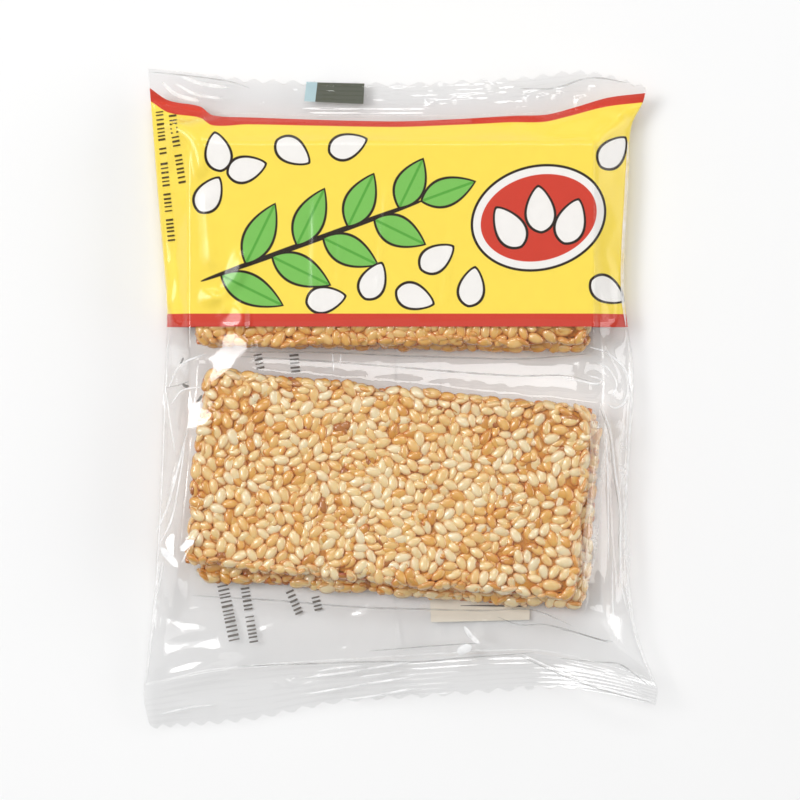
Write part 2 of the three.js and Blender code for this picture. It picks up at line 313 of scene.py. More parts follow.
STRAIGHTS = [SNAP_LENGTH - 2 * SNAP_CORNER, SNAP_WIDTH - 2 * SNAP_CORNER] * 2
RIM_LENGTH = sum(STRAIGHTS) + 2 * math.pi * SNAP_CORNER
faces_laid = [settle(SNAP_LENGTH, SNAP_WIDTH, SEED_PITCH, seed) for seed in (3, 8)]
rims_laid = settle(RIM_LENGTH, SNAP_THICKNESS, RIM_PITCH, 5, 30)
print("seeds on a face:", len(faces_laid[0][1]), "and round the rim:", len(rims_laid[1]))

# %% [markdown]
# Each seed follows the face that it lies on, so it needs three axes, turned and tilted a little at random. The
# rim of a snap is walked round by distance, along four straight cuts and four round corners. A knife goes through
# brittle syrup and not along a line of seeds, so noise lets the edge wander.

# %% How a seed lies, and the way round the rim
def turned_seed(normal, along, spin, tilt):
    """Axes of a seed that lies flat on a face with this normal, its tip turned by spin, then tilted."""
    z = Vector(normal).normalized()
    x = (Vector(along) - z * z.dot(Vector(along))).normalized()
    y = z.cross(x)
    tip = x * math.cos(spin) + y * math.sin(spin)
    lifted = (z + tip * tilt[0] + z.cross(tip) * tilt[1]).normalized()
    tip = (tip - lifted * tip.dot(lifted)).normalized()
    return tip, lifted.cross(tip), lifted


def rim_at(s):
    """Place and outward direction at a distance s round the rounded outline."""
    corner = math.pi / 2 * SNAP_CORNER
    heading, spot = 0, Vector((-SNAP_LENGTH / 2 + SNAP_CORNER, -SNAP_WIDTH / 2, 0))
    for straight in STRAIGHTS:
        way = Vector((round(math.cos(heading)), round(math.sin(heading)), 0))
        out = Vector((way.y, -way.x, 0))
        if s < straight:
            return spot + way * s, out
        spot, s = spot + way * straight, s - straight
        if s < corner:
            angle = s / SNAP_CORNER
            bent = out * math.cos(angle) + way * math.sin(angle)
            return spot - out * SNAP_CORNER + bent * SNAP_CORNER, bent
        spot, s = spot - out * SNAP_CORNER + way * SNAP_CORNER, s - corner
        heading += math.pi / 2
    return spot, out


def ragged(x, y, key):
    """How far the cut edge wanders in or out near a place."""
    return 0.55 * noise.noise(Vector((x / 8, y / 8, key))) + 0.3 * noise.noise(Vector((x / 3, y / 3, key + 7)))


print("a quarter of the way round the rim:", [round(c, 1) for c in rim_at(RIM_LENGTH / 4)[0]])

# %% [markdown]
# The seeds on one snap are only points at first: a place, a turn, a size and a tint for each. The top and the
# underside get a settled layer with looser seeds sunk below it, and the cut rim gets seeds that lie against it.
# Syrup gathers below, so sunk seeds are more golden than those on top. Of the faces inside a stack only the
# border can be seen, so the rest of their seeds are left out.

# %% Points for the seeds of one snap
BORDER = 3.8  # as far in as a hidden face can be seen
# Painted shade: the one darker golden tint that seeds on a stack's shaded front edge take.
EDGE_SHADE_TINT = 0.46


def seed_points(place, floor_z, laid, full_top, full_bottom, key, edge_shade=0.0):
    draw = np.random.default_rng(key)
    rows = []  # place, axes, size, tint, and how far syrup creeps up the flanks

    def cover(layout, z, up, whole, rough, tilt, golden, share=1.0):
        for (x, y), spin, size in zip(*layout):
            inward, out = inside_snap(x, y)
            if inward < 0.25 or (not whole and inward > BORDER) or draw.random() > share:
                continue
            rounding = max(0.0, 1 - inward / 2.4)
            wave = 0.14 * noise.noise(Vector((x / 6, y / 6, key)))
            lift = z + up * (wave + draw.normal(0, rough) - 0.35 * rounding ** 2)
            spot = Vector((x, y, lift)) + out * ragged(x, y, key) * max(0.0, 1 - inward / 6)
            axes = turned_seed(Vector((0, 0, up)) + out * 0.55 * rounding, (1, 0, 0), spin, draw.normal(0, tilt, 2))
            rows.append((spot, axes, size, golden, 0.95))

    mirrored = (laid[0] * (1, -1), -laid[1], laid[2])
    cover(laid, SNAP_THICKNESS - 0.55, 1, full_top, 0.17, 0.21, 0.0, 0.97)
    cover(mirrored, SNAP_THICKNESS - 1.15, 1, full_top, 0.14, 0.3, 0.25, 0.95)
    cover(mirrored, 0.62, -1, full_bottom, 0.06, 0.08, 0.0)
    cover(laid, 1.2, -1, full_bottom, 0.12, 0.3, 0.3, 0.5)
    for (s, v), spin, size in zip(*rims_laid):
        spot, out = rim_at((s + RIM_LENGTH / 2) % RIM_LENGTH)
        wander = ragged(spot.x, spot.y, key) - 0.62 + draw.normal(0, 0.24)
        height = np.clip(SNAP_THICKNESS / 2 + v * 0.72, 0.95, SNAP_THICKNESS - 1.1)
        spot = spot + out * wander + Vector((0, 0, height))
        lean = Vector((0, 0, 0.5 * v / SNAP_THICKNESS))
        axes = turned_seed(out + lean, (-out.y, out.x, 0), spin, draw.normal(0, 0.34, 2))
        rows.append((spot, axes, size, 0.1, 0.4))

    for spot, (tip, side, lifted), size, *_ in rows:  # no seed stands out of the rolled thickness
        reach = size * (abs(tip.z) * SEED_LENGTH * 0.4 + abs(side.z) * SEED_WIDTH * 0.35
                        + abs(lifted.z) * SEED_HEIGHT / 2)
        spot.z = min(max(spot.z, reach), SNAP_THICKNESS - reach)
    turn = math.radians(place[2])
    cos, sin = math.cos(turn), math.sin(turn)
    eulers = []
    for _, axes, *_ in rows:
        tip, side, lifted = [(a.x * cos - a.y * sin, a.x * sin + a.y * cos, a.z) for a in axes]
        eulers.append((math.atan2(side[2], lifted[2]), math.asin(max(-1.0, min(1.0, -tip[2]))),
                       math.atan2(tip[1], tip[0])))
    spots = placed([tuple(row[0]) for row in rows], place, floor_z)
    clumps = np.array([noise.noise(Vector(p) / 4.5 + Vector((0, 0, key))) for p in spots])
    tint = draw.beta(1.3, 5.0, len(rows)) + 0.2 * clumps + [row[3] for row in rows]
    roasted = draw.random(len(rows))
    tint += (roasted < 0.1) * draw.uniform(0.15, 0.35, len(rows)) + (roasted < 0.006) * 0.3
    # Painted light: towards the right end the seeds are paler, standing in for the film's milky sheen over them.
    tint -= 0.09 * smooth_step([(row[0].x - 18) / 10 for row in rows])  # paler at the right end
    # Painted shade: seeds along a stack's front edge, which lies in shade, drift towards one darker golden tint.
    painted_edge_shade = edge_shade * smooth_step([-(row[0].y + 10.5) / 4 for row in rows])
    tint += (EDGE_SHADE_TINT - tint) * painted_edge_shade
    return spots, np.array(eulers), np.array([row[2] for row in rows]), np.clip(tint, 0, 1), [row[4] for row in rows]


trial = seed_points(STACKS["lower"][1], SNAP_THICKNESS, faces_laid[0], True, False, 1)
print("seeds on the snap that shows best:", len(trial[0]), "mean tint:", round(float(trial[3].mean()), 2))

# %% [markdown]
# Copying one mesh onto many points is what Geometry Nodes are for. The tree sets a seed on every point, turned
# and sized by the point's own values, then makes the copies real and gives them their material. The result is
# turned into a plain mesh, because copies that are only instances would be lost on the way out of Blender.

# %% The tree that sets the seeds
def seed_cover_tree():
    tree = bpy.data.node_groups.new("seed_cover", "GeometryNodeTree")
    for name, kind, way in (
        ("Geometry", "NodeSocketGeometry", "INPUT"),
        ("Seed", "NodeSocketObject", "INPUT"),
        ("Seed size", "NodeSocketFloat", "INPUT"),
        ("Finish", "NodeSocketMaterial", "INPUT"),
        ("Geometry", "NodeSocketGeometry", "OUTPUT"),
    ):
        tree.interface.new_socket(name, in_out=way, socket_type=kind)
    given = add_node(tree, "NodeGroupInput")
    seed = add_node(tree, "GeometryNodeObjectInfo", links={"Object": given.outputs["Seed"]})
    turn = add_node(tree, "GeometryNodeInputNamedAttribute", {"data_type": "FLOAT_VECTOR"}, {"Name": "turn"})
    size = add_node(tree, "GeometryNodeInputNamedAttribute", {"data_type": "FLOAT"}, {"Name": "size"})
    scaled = add_node(tree, "ShaderNodeMath", {"operation": "MULTIPLY"},
                      links={0: size.outputs["Attribute"], 1: given.outputs["Seed size"]})
    copies = add_node(tree, "GeometryNodeInstanceOnPoints", links={
        "Points": given.outputs["Geometry"], "Instance": seed.outputs["Geometry"],
        "Rotation": turn.outputs["Attribute"], "Scale": scaled.outputs[0]})
    real = add_node(tree, "GeometryNodeRealizeInstances", links={"Geometry": copies.outputs[0]})
    finished = add_node(tree, "GeometryNodeSetMaterial",
                        links={"Geometry": real.outputs[0], "Material": given.outputs["Finish"]})
    add_node(tree, "NodeGroupOutput", links={0: finished.outputs[0]})
    return tree


seed_cover = seed_cover_tree()


def grow_seeds(name, points, material):
    spots, turns, sizes, tints, creep = points
    piece = mesh_from(name, spots, [], False)
    write_attribute(piece, "turn", turns, "FLOAT_VECTOR")
    write_attribute(piece, "size", sizes)
    write_attribute(piece, "tint", tints)
    write_attribute(piece, "syrup_creep", creep)
    grown = piece.modifiers.new("seeds", "NODES")
    grown.node_group = seed_cover
    sockets = {item.name: item.identifier for item in seed_cover.interface.items_tree if item.in_out == "INPUT"}
    grown[sockets["Seed"]] = one_seed
    grown[sockets["Seed size"]] = 1.0
    grown[sockets["Finish"]] = material
    seen = piece.evaluated_get(bpy.context.evaluated_depsgraph_get())
    mesh = bpy.data.meshes.new_from_object(seen)
    mesh.name = name
    mesh.shade_smooth()
    piece.modifiers.clear()
    piece.data = mesh
    return piece


print("tree inputs:", [item.name for item in seed_cover.interface.items_tree])

# %% [markdown]
# Hulled sesame seed is waxy and lets a little light in, and here each seed wears a thin coat of clear, hard
# syrup. Most are cream, some golden, and a few are toasted. The tint value that each seed carries picks its
# colour. Syrup also creeps up the flanks of every seed, so the colour turns golden where crown falls to zero. On
# the cut rim we look at the seeds from their flanks, and there it creeps less far.

# %% Seed and syrup materials
def colour_ramp(tree, stops, factor):
    ramp = add_node(tree, "ShaderNodeValToRGB", links={"Fac": factor})
    elements = ramp.color_ramp.elements
    elements[0].position, elements[0].color = stops[0][0], linear(stops[0][1])
    elements[1].position, elements[1].color = stops[-1][0], linear(stops[-1][1])
    for at, colour in stops[1:-1]:
        elements.new(at).color = linear(colour)
    return ramp.outputs["Color"]


def object_noise(tree, millimetres, detail=2.0):
    place = add_node(tree, "ShaderNodeTexCoord")
    return add_node(tree, "ShaderNodeTexNoise", values={"Scale": 1 / (millimetres * MM), "Detail": detail},
                    links={"Vector": place.outputs["Object"]}).outputs[0]


def sesame_material():
    material, tree = new_material("hulled_sesame_in_syrup")
    tint = add_node(tree, "ShaderNodeAttribute", {"attribute_name": "tint"})
    crown = add_node(tree, "ShaderNodeAttribute", {"attribute_name": "crown"})
    mottle = object_noise(tree, 1.1)
    toast = add_node(tree, "ShaderNodeMath", {"operation": "MULTIPLY_ADD", "use_clamp": True}, {1: 0.3},
                     {0: mottle, 2: tint.outputs["Fac"]})
    colour = colour_ramp(tree, [(0.1, "#F9E8C0"), (0.35, "#F8D796"), (0.6, "#EFB65A"), (0.85, "#DF9C3C"),
                                (1.0, "#BA742A")], toast.outputs[0])
    creep = add_node(tree, "ShaderNodeAttribute", {"attribute_name": "syrup_creep"})
    flank = add_node(tree, "ShaderNodeMapRange", {"interpolation_type": "SMOOTHSTEP"},
                     {"From Min": 0.8, "From Max": -0.1, "To Min": 0.0},
                     {"Value": crown.outputs["Fac"], "To Max": creep.outputs["Fac"]})
    coated = add_node(tree, "ShaderNodeMix", {"data_type": "RGBA", "blend_type": "MULTIPLY"},
                      {7: linear("#DC9430")}, {0: flank.outputs[0], 6: colour})
    bump = add_node(tree, "ShaderNodeBump", values={"Strength": 0.3, "Distance": 0.1 * MM}, links={"Height": mottle})
    shader = add_node(tree, "ShaderNodeBsdfPrincipled", values={
        "Roughness": 0.42, "IOR": 1.47, "Subsurface Weight": 0.12, "Subsurface Radius": (1.0, 0.7, 0.45),
        "Subsurface Scale": 0.3 * MM, "Coat Weight": 1.0, "Coat Roughness": 0.16, "Coat IOR": 1.7,
    }, links={"Base Color": coated.outputs[2], "Normal": bump.outputs[0]})
    add_node(tree, "ShaderNodeOutputMaterial", links={"Surface": shader.outputs[0]})
    return material


def syrup_material():
    material, tree = new_material("boiled_sugar_syrup")
    clouds = object_noise(tree, 3.5, 3.0)
    colour = colour_ramp(tree, [(0.3, "#BE7424"), (0.7, "#E2A448")], clouds)
    bump = add_node(tree, "ShaderNodeBump", values={"Strength": 0.8, "Distance": 0.3 * MM},
                    links={"Height": object_noise(tree, 1.3, 3.0)})
    shader = add_node(tree, "ShaderNodeBsdfPrincipled", values={
        "Roughness": 0.16, "IOR": 1.6, "Subsurface Weight": 0.15, "Subsurface Radius": (1.0, 0.6, 0.3),
        "Subsurface Scale": 0.6 * MM,
    }, links={"Base Color": colour, "Normal": bump.outputs[0]})
    add_node(tree, "ShaderNodeOutputMaterial", links={"Surface": shader.outputs[0]})
    return material


sesame_finish = sesame_material()
syrup_finish = syrup_material()
print("materials:", sesame_finish.name, syrup_finish.name)

# %% [markdown]
# The syrup under the seeds is a slab that was rolled, cooled and cut. A cut cube is divided finely, its corners
# are pulled round, and noise pushes its faces in and out, so that no straight line shows between the seeds.

# %% The syrup slab of one snap
SYRUP_INSET, SYRUP_CORNER = 0.95, 1.15  # below the seeds' outer side, and the radius of its edges


def syrup_slab(name, place, floor_z, key):
    half = Vector(size / 2 - SYRUP_INSET for size in (SNAP_LENGTH, SNAP_WIDTH, SNAP_THICKNESS))
    work = bmesh.new()
    bmesh.ops.create_cube(work, size=2)
    bmesh.ops.subdivide_edges(work, edges=work.edges[:], cuts=31, use_grid_fill=True)
    points = []
    for vert in work.verts:
        point = Vector(c * h for c, h in zip(vert.co, half))
        core = Vector(max(-h + SYRUP_CORNER, min(h - SYRUP_CORNER, c)) for c, h in zip(point, half))
        away = point - core
        point = core + away.normalized() * SYRUP_CORNER
        _, out = inside_snap(point.x, point.y)
        point += out * ragged(point.x, point.y, key) * min(1.0, (away.xy.length / SYRUP_CORNER))
        point += away.normalized() * 0.12 * noise.noise(point / 2.2 + Vector((key * 9, 0, 0)))
        points.append(point + Vector((0, 0, SNAP_THICKNESS / 2)))
    faces = [[v.index for v in face.verts] for face in work.faces]
    work.free()
    slab = mesh_from(name, placed(points, place, floor_z), faces)
    slab.data.materials.append(syrup_finish)
    return slab


# Painted shade: how strongly each stack's front-edge seeds take the darker tint; only the upper one lies in shade
# below the band.
EDGE_SHADE_SHARE = {"upper": 0.75, "lower": 0.0}  # how far the seeds on a stack's front edge share one golden tint
LAYERS = ("under", "top")
contents = []
for number, (stack, snaps) in enumerate(STACKS.items()):
    for layer, place in enumerate(snaps):
        floor_z = FLOOR_Z + layer * SNAP_THICKNESS
        key = number * 2 + layer
        name = f"{stack}_{LAYERS[layer]}_snap"
        contents.append(syrup_slab(name + "_syrup", place, floor_z, key + 20))
        points = seed_points(place, floor_z, faces_laid[key % 2], layer == 1, layer == 0, key + 20,
                             EDGE_SHADE_SHARE[stack])
        contents.append(grow_seeds(name + "_seeds", points, sesame_finish))
        print(name, len(points[0]), "seeds", len(contents[-1].data.polygons), "faces")
bpy.data.objects.remove(one_seed)
tallest = max(v.co.z for piece in contents for v in piece.data.vertices)
lowest = min(v.co.z for piece in contents for v in piece.data.vertices)
print("seeds reach from", round(lowest / MM, 2), "to", round(tallest / MM, 2), "mm")

# %% [markdown]
# The film was one flat web, folded round the snaps, seamed down the back and pinched shut at both ends. Seen
# from above its outline is drawn in at the middle, where the stacks take up width. The same named lines give
# the outline, the inner edge of each crimped seal, and how high each of them lies above the table.

# %% Outline of the pack
# The sides are given as y and x. All other lines run from -1 at the left side to 1 at the right one.
LEFT_SIDE = [(-57.6, -43.6), (-51.4, -44.8), (-45.6, -44.2), (-35, -43.0), (-12, -41.7),
             (3.5, -41.2), (15, -40.6), (36, -42.2), (48, -43.1), (57.6, -43.8)]
RIGHT_SIDE = [(-53, 44.4), (-50.1, 44.8), (-45.6, 43.0), (-38, 40.8), (-21, 39.6),
              (4, 40.7), (19, 39.0), (39, 39.8), (47.7, 40.3), (52.2, 42.4), (57.6, 43.2)]
left_x, right_x = through(LEFT_SIDE), through(RIGHT_SIDE)
bottom_edge_y = through([(-1, -57.6), (-0.6, -56.2), (-0.25, -53.2), (0.1, -52.0), (0.6, -50.4), (0.8, -51.1),
                         (1, -53)])
bottom_seal_y = through([(-1, -49.7), (-0.7, -47.0), (0, -45.0), (0.55, -44.0), (0.8, -46.2), (1, -49.0)])
top_seal_y = through([(-1, 52.0), (-0.75, 50.0), (0, 49.4), (0.55, 49.8), (1, 51.6)])
top_edge_y = through([(-1, 57.6), (-0.6, 56.2), (0, 55.6), (0.5, 56.6), (0.75, 57.6), (1, 54.8)])
bottom_edge_z = through([(-1, 1.2), (-0.4, 1.6), (0, 2.4), (0.5, 4.6), (0.8, 6.0), (1, 6.6)])
bottom_seal_z = through([(-1, 2.2), (0, 2.6), (0.6, 3.0), (1, 4.2)])
top_seal_z = through([(-1, 3.6), (-0.5, 2.8), (0.5, 2.9), (1, 3.8)])
top_edge_z = through([(-1, 5.0), (-0.5, 2.6), (0.2, 2.2), (0.7, 2.6), (1, 4.4)])
band_top_y = through([(-1, 54.3), (-0.93, 52.2), (-0.8, 51.1), (-0.75, 49.6), (-0.6, 49.2), (0, 48.5), (0.26, 48.9),
                      (0.49, 49.5), (0.63, 49.7), (0.72, 50.8), (0.85, 52.6), (1, 53.4)])
BAND_BOTTOM_Y = 12.7
SIDE_Z = 3.7
SNAP_TOP_Z = tallest / MM + 0.08  # the film's height where it lies on the seeds
BACK_Z = 0.12  # the least height of the back film
BASE = (-36.8, 35.4, -35.6, 43.2)  # the flat part of the back: left, right, bottom, top
RIBS, RIB_HEIGHT = 8, 0.13
# how deeply the jaws pressed each seal, from left to right
bottom_press = through([(-1, 0.3), (-0.5, 0.35), (-0.3, 1.0), (0.1, 1.05), (0.3, 0.4), (1, 0.1)])
top_press = through([(-1, 0.15), (-0.2, 0.4), (0.3, 0.4), (1, 0.2)])
TEETH, TOOTH_DEPTH = 27, 0.9


def across_to_x(across, y):
    return left_x(y) + (right_x(y) - left_x(y)) * (across + 1) / 2


def x_to_across(x, y):
    return 2 * (x - left_x(y)) / (right_x(y) - left_x(y)) - 1


def smooth_min(a, b, reach):
    h = np.maximum(reach - np.abs(a - b), 0) / reach
    return np.minimum(a, b) - h * h * reach / 4


print("width at the middle:", round(float(right_x(0) - left_x(0)), 1), "mm")

# %% [markdown]
# A film's height follows from what holds it. On a snap it lies on the seeds, at the rim it is pinched, and in
# between it is pulled tight: the share that each has in it follows from how near each is. The back film does the
# same about the table. This gives the smooth form that the creases are then laid into.

# %% The smooth form of both films
SNAP_REACH = 0.9  # the film lifts off this far outside a snap


def outside_snap(place, x, y, spare):
    turn = math.radians(place[2])
    dx, dy = x - place[0], y - place[1]
    along = np.abs(dx * math.cos(turn) + dy * math.sin(turn)) - SNAP_LENGTH / 2 - spare
    aside = np.abs(dy * math.cos(turn) - dx * math.sin(turn)) - SNAP_WIDTH / 2 - spare
    return np.hypot(np.maximum(along, 0), np.maximum(aside, 0))


def smooth_form(x, y):
    """Front and back heights, how far a place is from the rim and from a snap, and the share a snap has in it."""
    across = x_to_across(x, y)
    from_bottom = y - bottom_seal_y(across)
    from_top = top_seal_y(across) - y
    to_side = smooth_min(x - left_x(y), right_x(y) - x, 2)
    to_rim = np.maximum(smooth_min(to_side, smooth_min(from_bottom, from_top, 2), 2.5), 0)
    middle = bottom_seal_z(across) + (SIDE_Z - bottom_seal_z(across)) * smooth_step(from_bottom / 14)
    middle = top_seal_z(across) + (middle - top_seal_z(across)) * smooth_step(from_top / 14)
    away = [outside_snap(snaps[1], x, y, SNAP_REACH) for snaps in STACKS.values()]
    outside = np.maximum(smooth_min(*away, 1), 0)
    off_base = np.hypot(np.maximum(np.maximum(BASE[0] - x, x - BASE[1]), 0),
                        np.maximum(np.maximum(BASE[2] - y, y - BASE[3]), 0))
    held = to_rim / (to_rim + outside + 1e-6)
    grounded = to_rim / (to_rim + off_base + 1e-6)
    between = np.exp(-((y - 5.0) / 7.0) ** 2)
    fold = 0.3 * np.sqrt(1 - (1 - np.clip(to_side / 0.6, 0, 1)) ** 2)
    front = middle + fold * (1 - held) + (SNAP_TOP_Z - middle) * held - 0.3 * outside * between
    back = middle - fold * (1 - grounded) + (BACK_Z - middle) * grounded
    return front, back, to_rim, outside, grounded


heights = smooth_form(np.array([-1.0, 0.0, 38.0]), np.array([26.0, 5.0, -15.0]))[0]
print("front film on a snap, between the stacks and beside one:", heights.round(2), "mm")

# %% [markdown]
# Creases are easier to lay into a table of heights than into a mesh. The table here has a value every 0.3 mm, and
# flat triangles are written into it corner by corner. Softening it by a cell or two rounds the creases a little,
# as film does. A place between the values takes its share of the four next to it.

# %% A table of heights
STEP = 0.3
LATTICE_X = np.arange(-48, 48.01, STEP)
LATTICE_Y = np.arange(-61, 61.01, STEP)
GRID_X, GRID_Y = np.meshgrid(LATTICE_X, LATTICE_Y)


def fill_triangles(sheet, corners, triangles):
    """Writes the heights of flat triangles into a lattice."""
    for a, b, c in (np.array([corners[i] for i in t]) for t in triangles):
        low = np.minimum(np.minimum(a, b), c)[:2]
        high = np.maximum(np.maximum(a, b), c)[:2]
        i0, j0 = np.maximum(((low - (LATTICE_X[0], LATTICE_Y[0])) / STEP).astype(int), 0)
        i1, j1 = ((high - (LATTICE_X[0], LATTICE_Y[0])) / STEP).astype(int) + 2
        x, y = GRID_X[j0:j1, i0:i1], GRID_Y[j0:j1, i0:i1]
        area = (b[0] - a[0]) * (c[1] - a[1]) - (c[0] - a[0]) * (b[1] - a[1])
        if abs(area) < 1e-9 or not x.size:
            continue
        v = ((x - a[0]) * (c[1] - a[1]) - (c[0] - a[0]) * (y - a[1])) / area
        w = ((b[0] - a[0]) * (y - a[1]) - (x - a[0]) * (b[1] - a[1])) / area
        within = (v >= -1e-6) & (w >= -1e-6) & (v + w <= 1 + 1e-6)
        sheet[j0:j1, i0:i1][within] = (a[2] + v * (b[2] - a[2]) + w * (c[2] - a[2]))[within]
    return sheet


def soften(sheet, times):
    for _ in range(times):
        for axis in (0, 1):
            sheet = (np.roll(sheet, 1, axis) + 2 * sheet + np.roll(sheet, -1, axis)) / 4
    return sheet


def sampled(sheet, x, y):
    """A lattice's value at places between its own."""
    u = np.clip((np.asarray(x) - LATTICE_X[0]) / STEP, 0, len(LATTICE_X) - 1.001)
    v = np.clip((np.asarray(y) - LATTICE_Y[0]) / STEP, 0, len(LATTICE_Y) - 1.001)
    i, j = u.astype(int), v.astype(int)
    u, v = u - i, v - j
    return (sheet[j, i] * (1 - u) * (1 - v) + sheet[j, i + 1] * u * (1 - v)
            + sheet[j + 1, i] * (1 - u) * v + sheet[j + 1, i + 1] * u * v)


def facets(wide, long, height, seed, soften_times=1):
    """Random heights joined by triangles about wide by long mm."""
    draw = np.random.default_rng(seed)
    xs = np.arange(-60, 60.1, wide)
    ys = np.arange(-75, 75.1, long)
    spots = np.array([(x + (i % 2) * wide / 2, y) for i, y in enumerate(ys) for x in xs])
    spots += draw.uniform(-0.38, 0.38, spots.shape) * (wide, long)
    corners, _, triangles, *_ = geometry.delaunay_2d_cdt([Vector(p) for p in spots], [], [], 0, 1e-6)
    heights = draw.uniform(-1, 1, len(corners)) * height
    corners = [(c.x, c.y, h) for c, h in zip(corners, heights)]
    return soften(fill_triangles(np.zeros_like(GRID_X), corners, triangles), soften_times)


def bubbles(patches, seed):
    """Small round bumps, scattered over rectangles given as how many, and x and y from and to."""
    draw = np.random.default_rng(seed)
    sheet = np.zeros_like(GRID_X)
    for count, x0, x1, y0, y1 in patches:
        for x, y in draw.uniform((x0, y0), (x1, y1), (count, 2)):
            radius, height = draw.uniform(0.35, 0.75), draw.uniform(0.1, 0.3)
            sheet += height * np.exp(-((GRID_X - x) ** 2 + (GRID_Y - y) ** 2) / radius ** 2)
    return sheet


print("heights in the table:", GRID_X.size)

# %% [markdown]
# Clear film is all but invisible where it is smooth, so its creases decide how it looks, and most of all the
# facets that mirror the lamp. Those are laid where the photo shows them: a sheet seen from above mirrors
# the lamp when it leans half way towards it.

# %% Facets that mirror the lamp
LIT_FACETS = [  # how far the middle is lifted, and the corners
    (1.55, [(-30.3, 8.9), (-26.0, 10.6), (-25.9, 8.3), (-28.3, 6.6), (-33.5, 4.0), (-36.2, 4.6)]),
    (0.6, [(-37.0, -1.9), (-31.5, -1.9), (-33.6, -4.2), (-37.2, -5.6)]),
    (0.9, [(-37.7, -26.2), (-35.9, -24.0), (-35.3, -24.7), (-37.5, -28.3), (-38.6, -29.2)]),
    (0.6, [(-41.4, -24.7), (-38.0, -26.1), (-39.0, -29.2)]),
    (-1.2, [(-42.4, -37.7), (-40.3, -37.5), (-36.4, -38.4), (-32.6, -39.5), (-32.4, -40.2), (-35.6, -40.0),
            (-39.5, -38.7)]),
    (0.6, [(-41.2, -42.6), (-34.6, -42.2), (-33.6, -41.7), (-32.4, -40.4), (-31.1, -42.6), (-30.2, -43.5),
           (-32.4, -44.1), (-33.9, -43.4), (-37.8, -43.5), (-39.5, -44.1), (-41.1, -44.7)]),
    (1.0, [(-31.0, -44.1), (-33.2, -45.5), (-36.6, -47.1), (-38.4, -48.7), (-38.9, -48.4), (-39.5, -47.1),
           (-40.0, -46.6), (-37.2, -45.7), (-35.9, -45.2), (-33.5, -44.9)]),
    (0.0, [(-40.3, -46.9), (-41.4, -48.4), (-42.4, -49.1), (-41.9, -48.2), (-40.8, -47.0)]),
    (0.0, [(-24.9, -39.2), (-24.0, -39.0), (-23.8, -40.4), (-24.7, -40.6)]),
    (0.2, [(-10.1, -36.6), (-8.6, -36.7), (-6.2, -38.1), (-8.2, -38.0)]),
    (0.0, [(-10.0, -42.4), (-9.4, -42.3), (-8.5, -43.8), (-9.2, -43.9)]),
    (0.0, [(11.1, -39.3), (12.1, -38.9), (14.7, -42.3), (13.5, -42.4)]),
    (0.0, [(9.9, -44.0), (10.9, -42.9), (12.6, -42.8), (11.6, -43.8)]),
    (0.3, [(-39.7, 48.1), (-37.3, 47.1), (-35.6, 45.4), (-34.6, 42.9), (-34.1, 39.9), (-34.9, 38.0), (-35.1, 40.7),
           (-35.7, 43.6), (-37.0, 45.7), (-39.0, 47.1)]),
    (0.0, [(-38.0, 24.7), (-38.9, 22.0), (-40.4, 15.4), (-39.3, 15.6), (-38.2, 20.5)]),
    (0.5, [(-26.9, 25.6), (-27.6, 22.5), (-29.6, 19.6), (-31.6, 18.6), (-31.2, 19.8), (-29.2, 22.0), (-28.0, 25.0)]),
    (0.5, [(-35.3, 19.6), (-32.6, 18.3), (-30.6, 17.8), (-33.4, 17.2), (-35.4, 17.0)]),
    (0.7, [(-28.9, 16.6), (-26.6, 13.2), (-31.2, 12.9), (-30.0, 14.6)]),
]
QUIET_FACET = [(35.2, -34.0), (38.4, -34.0), (39.8, -39.5), (38.0, -42.5), (35.6, -39.5)]  # left as the film falls


def lamp_slope(x, y):
    """Rise to the right, and away from the viewer, of a sheet that mirrors the key light to a viewer overhead."""
    place = Vector((x * MM, y * MM, SIDE_Z * MM))
    halfway = (Vector(KEY_PLACE) - place).normalized() + (camera.location - place).normalized()
    return np.array([-halfway.x / halfway.z, -halfway.y / halfway.z])


def lit_ground():
    """One on the listed facets."""
    ground = np.zeros_like(GRID_X)
    for _, corners in LIT_FACETS:
        plan = geometry.tessellate_polygon([[Vector((x, y, 0)) for x, y in corners]])
        fill_triangles(ground, [(x, y, 1.0) for x, y in corners], plan)
    return ground


lit_plan = lit_ground()
lit = smooth_step(soften(lit_plan, 40) * 3.5)  # reaches a little past each facet, and may lift the film off a snap
print("square mm that mirror the lamp:", round(float(lit_plan.sum()) * STEP ** 2, 1))

# %% [markdown]
# Elsewhere loose film breaks into flat facets with straight creases between them. Points are scattered over it,
# more widely along the pull than across it, given a random height and joined into triangles. Finer sheets of
# facets give small creases, streaks beside the stacks, slow waves where the film is taut, and the seeds that push
# at it from below.

# %% Facets and creases
NET_SPACING, NET_ROUGHNESS = 4.0, 0.75


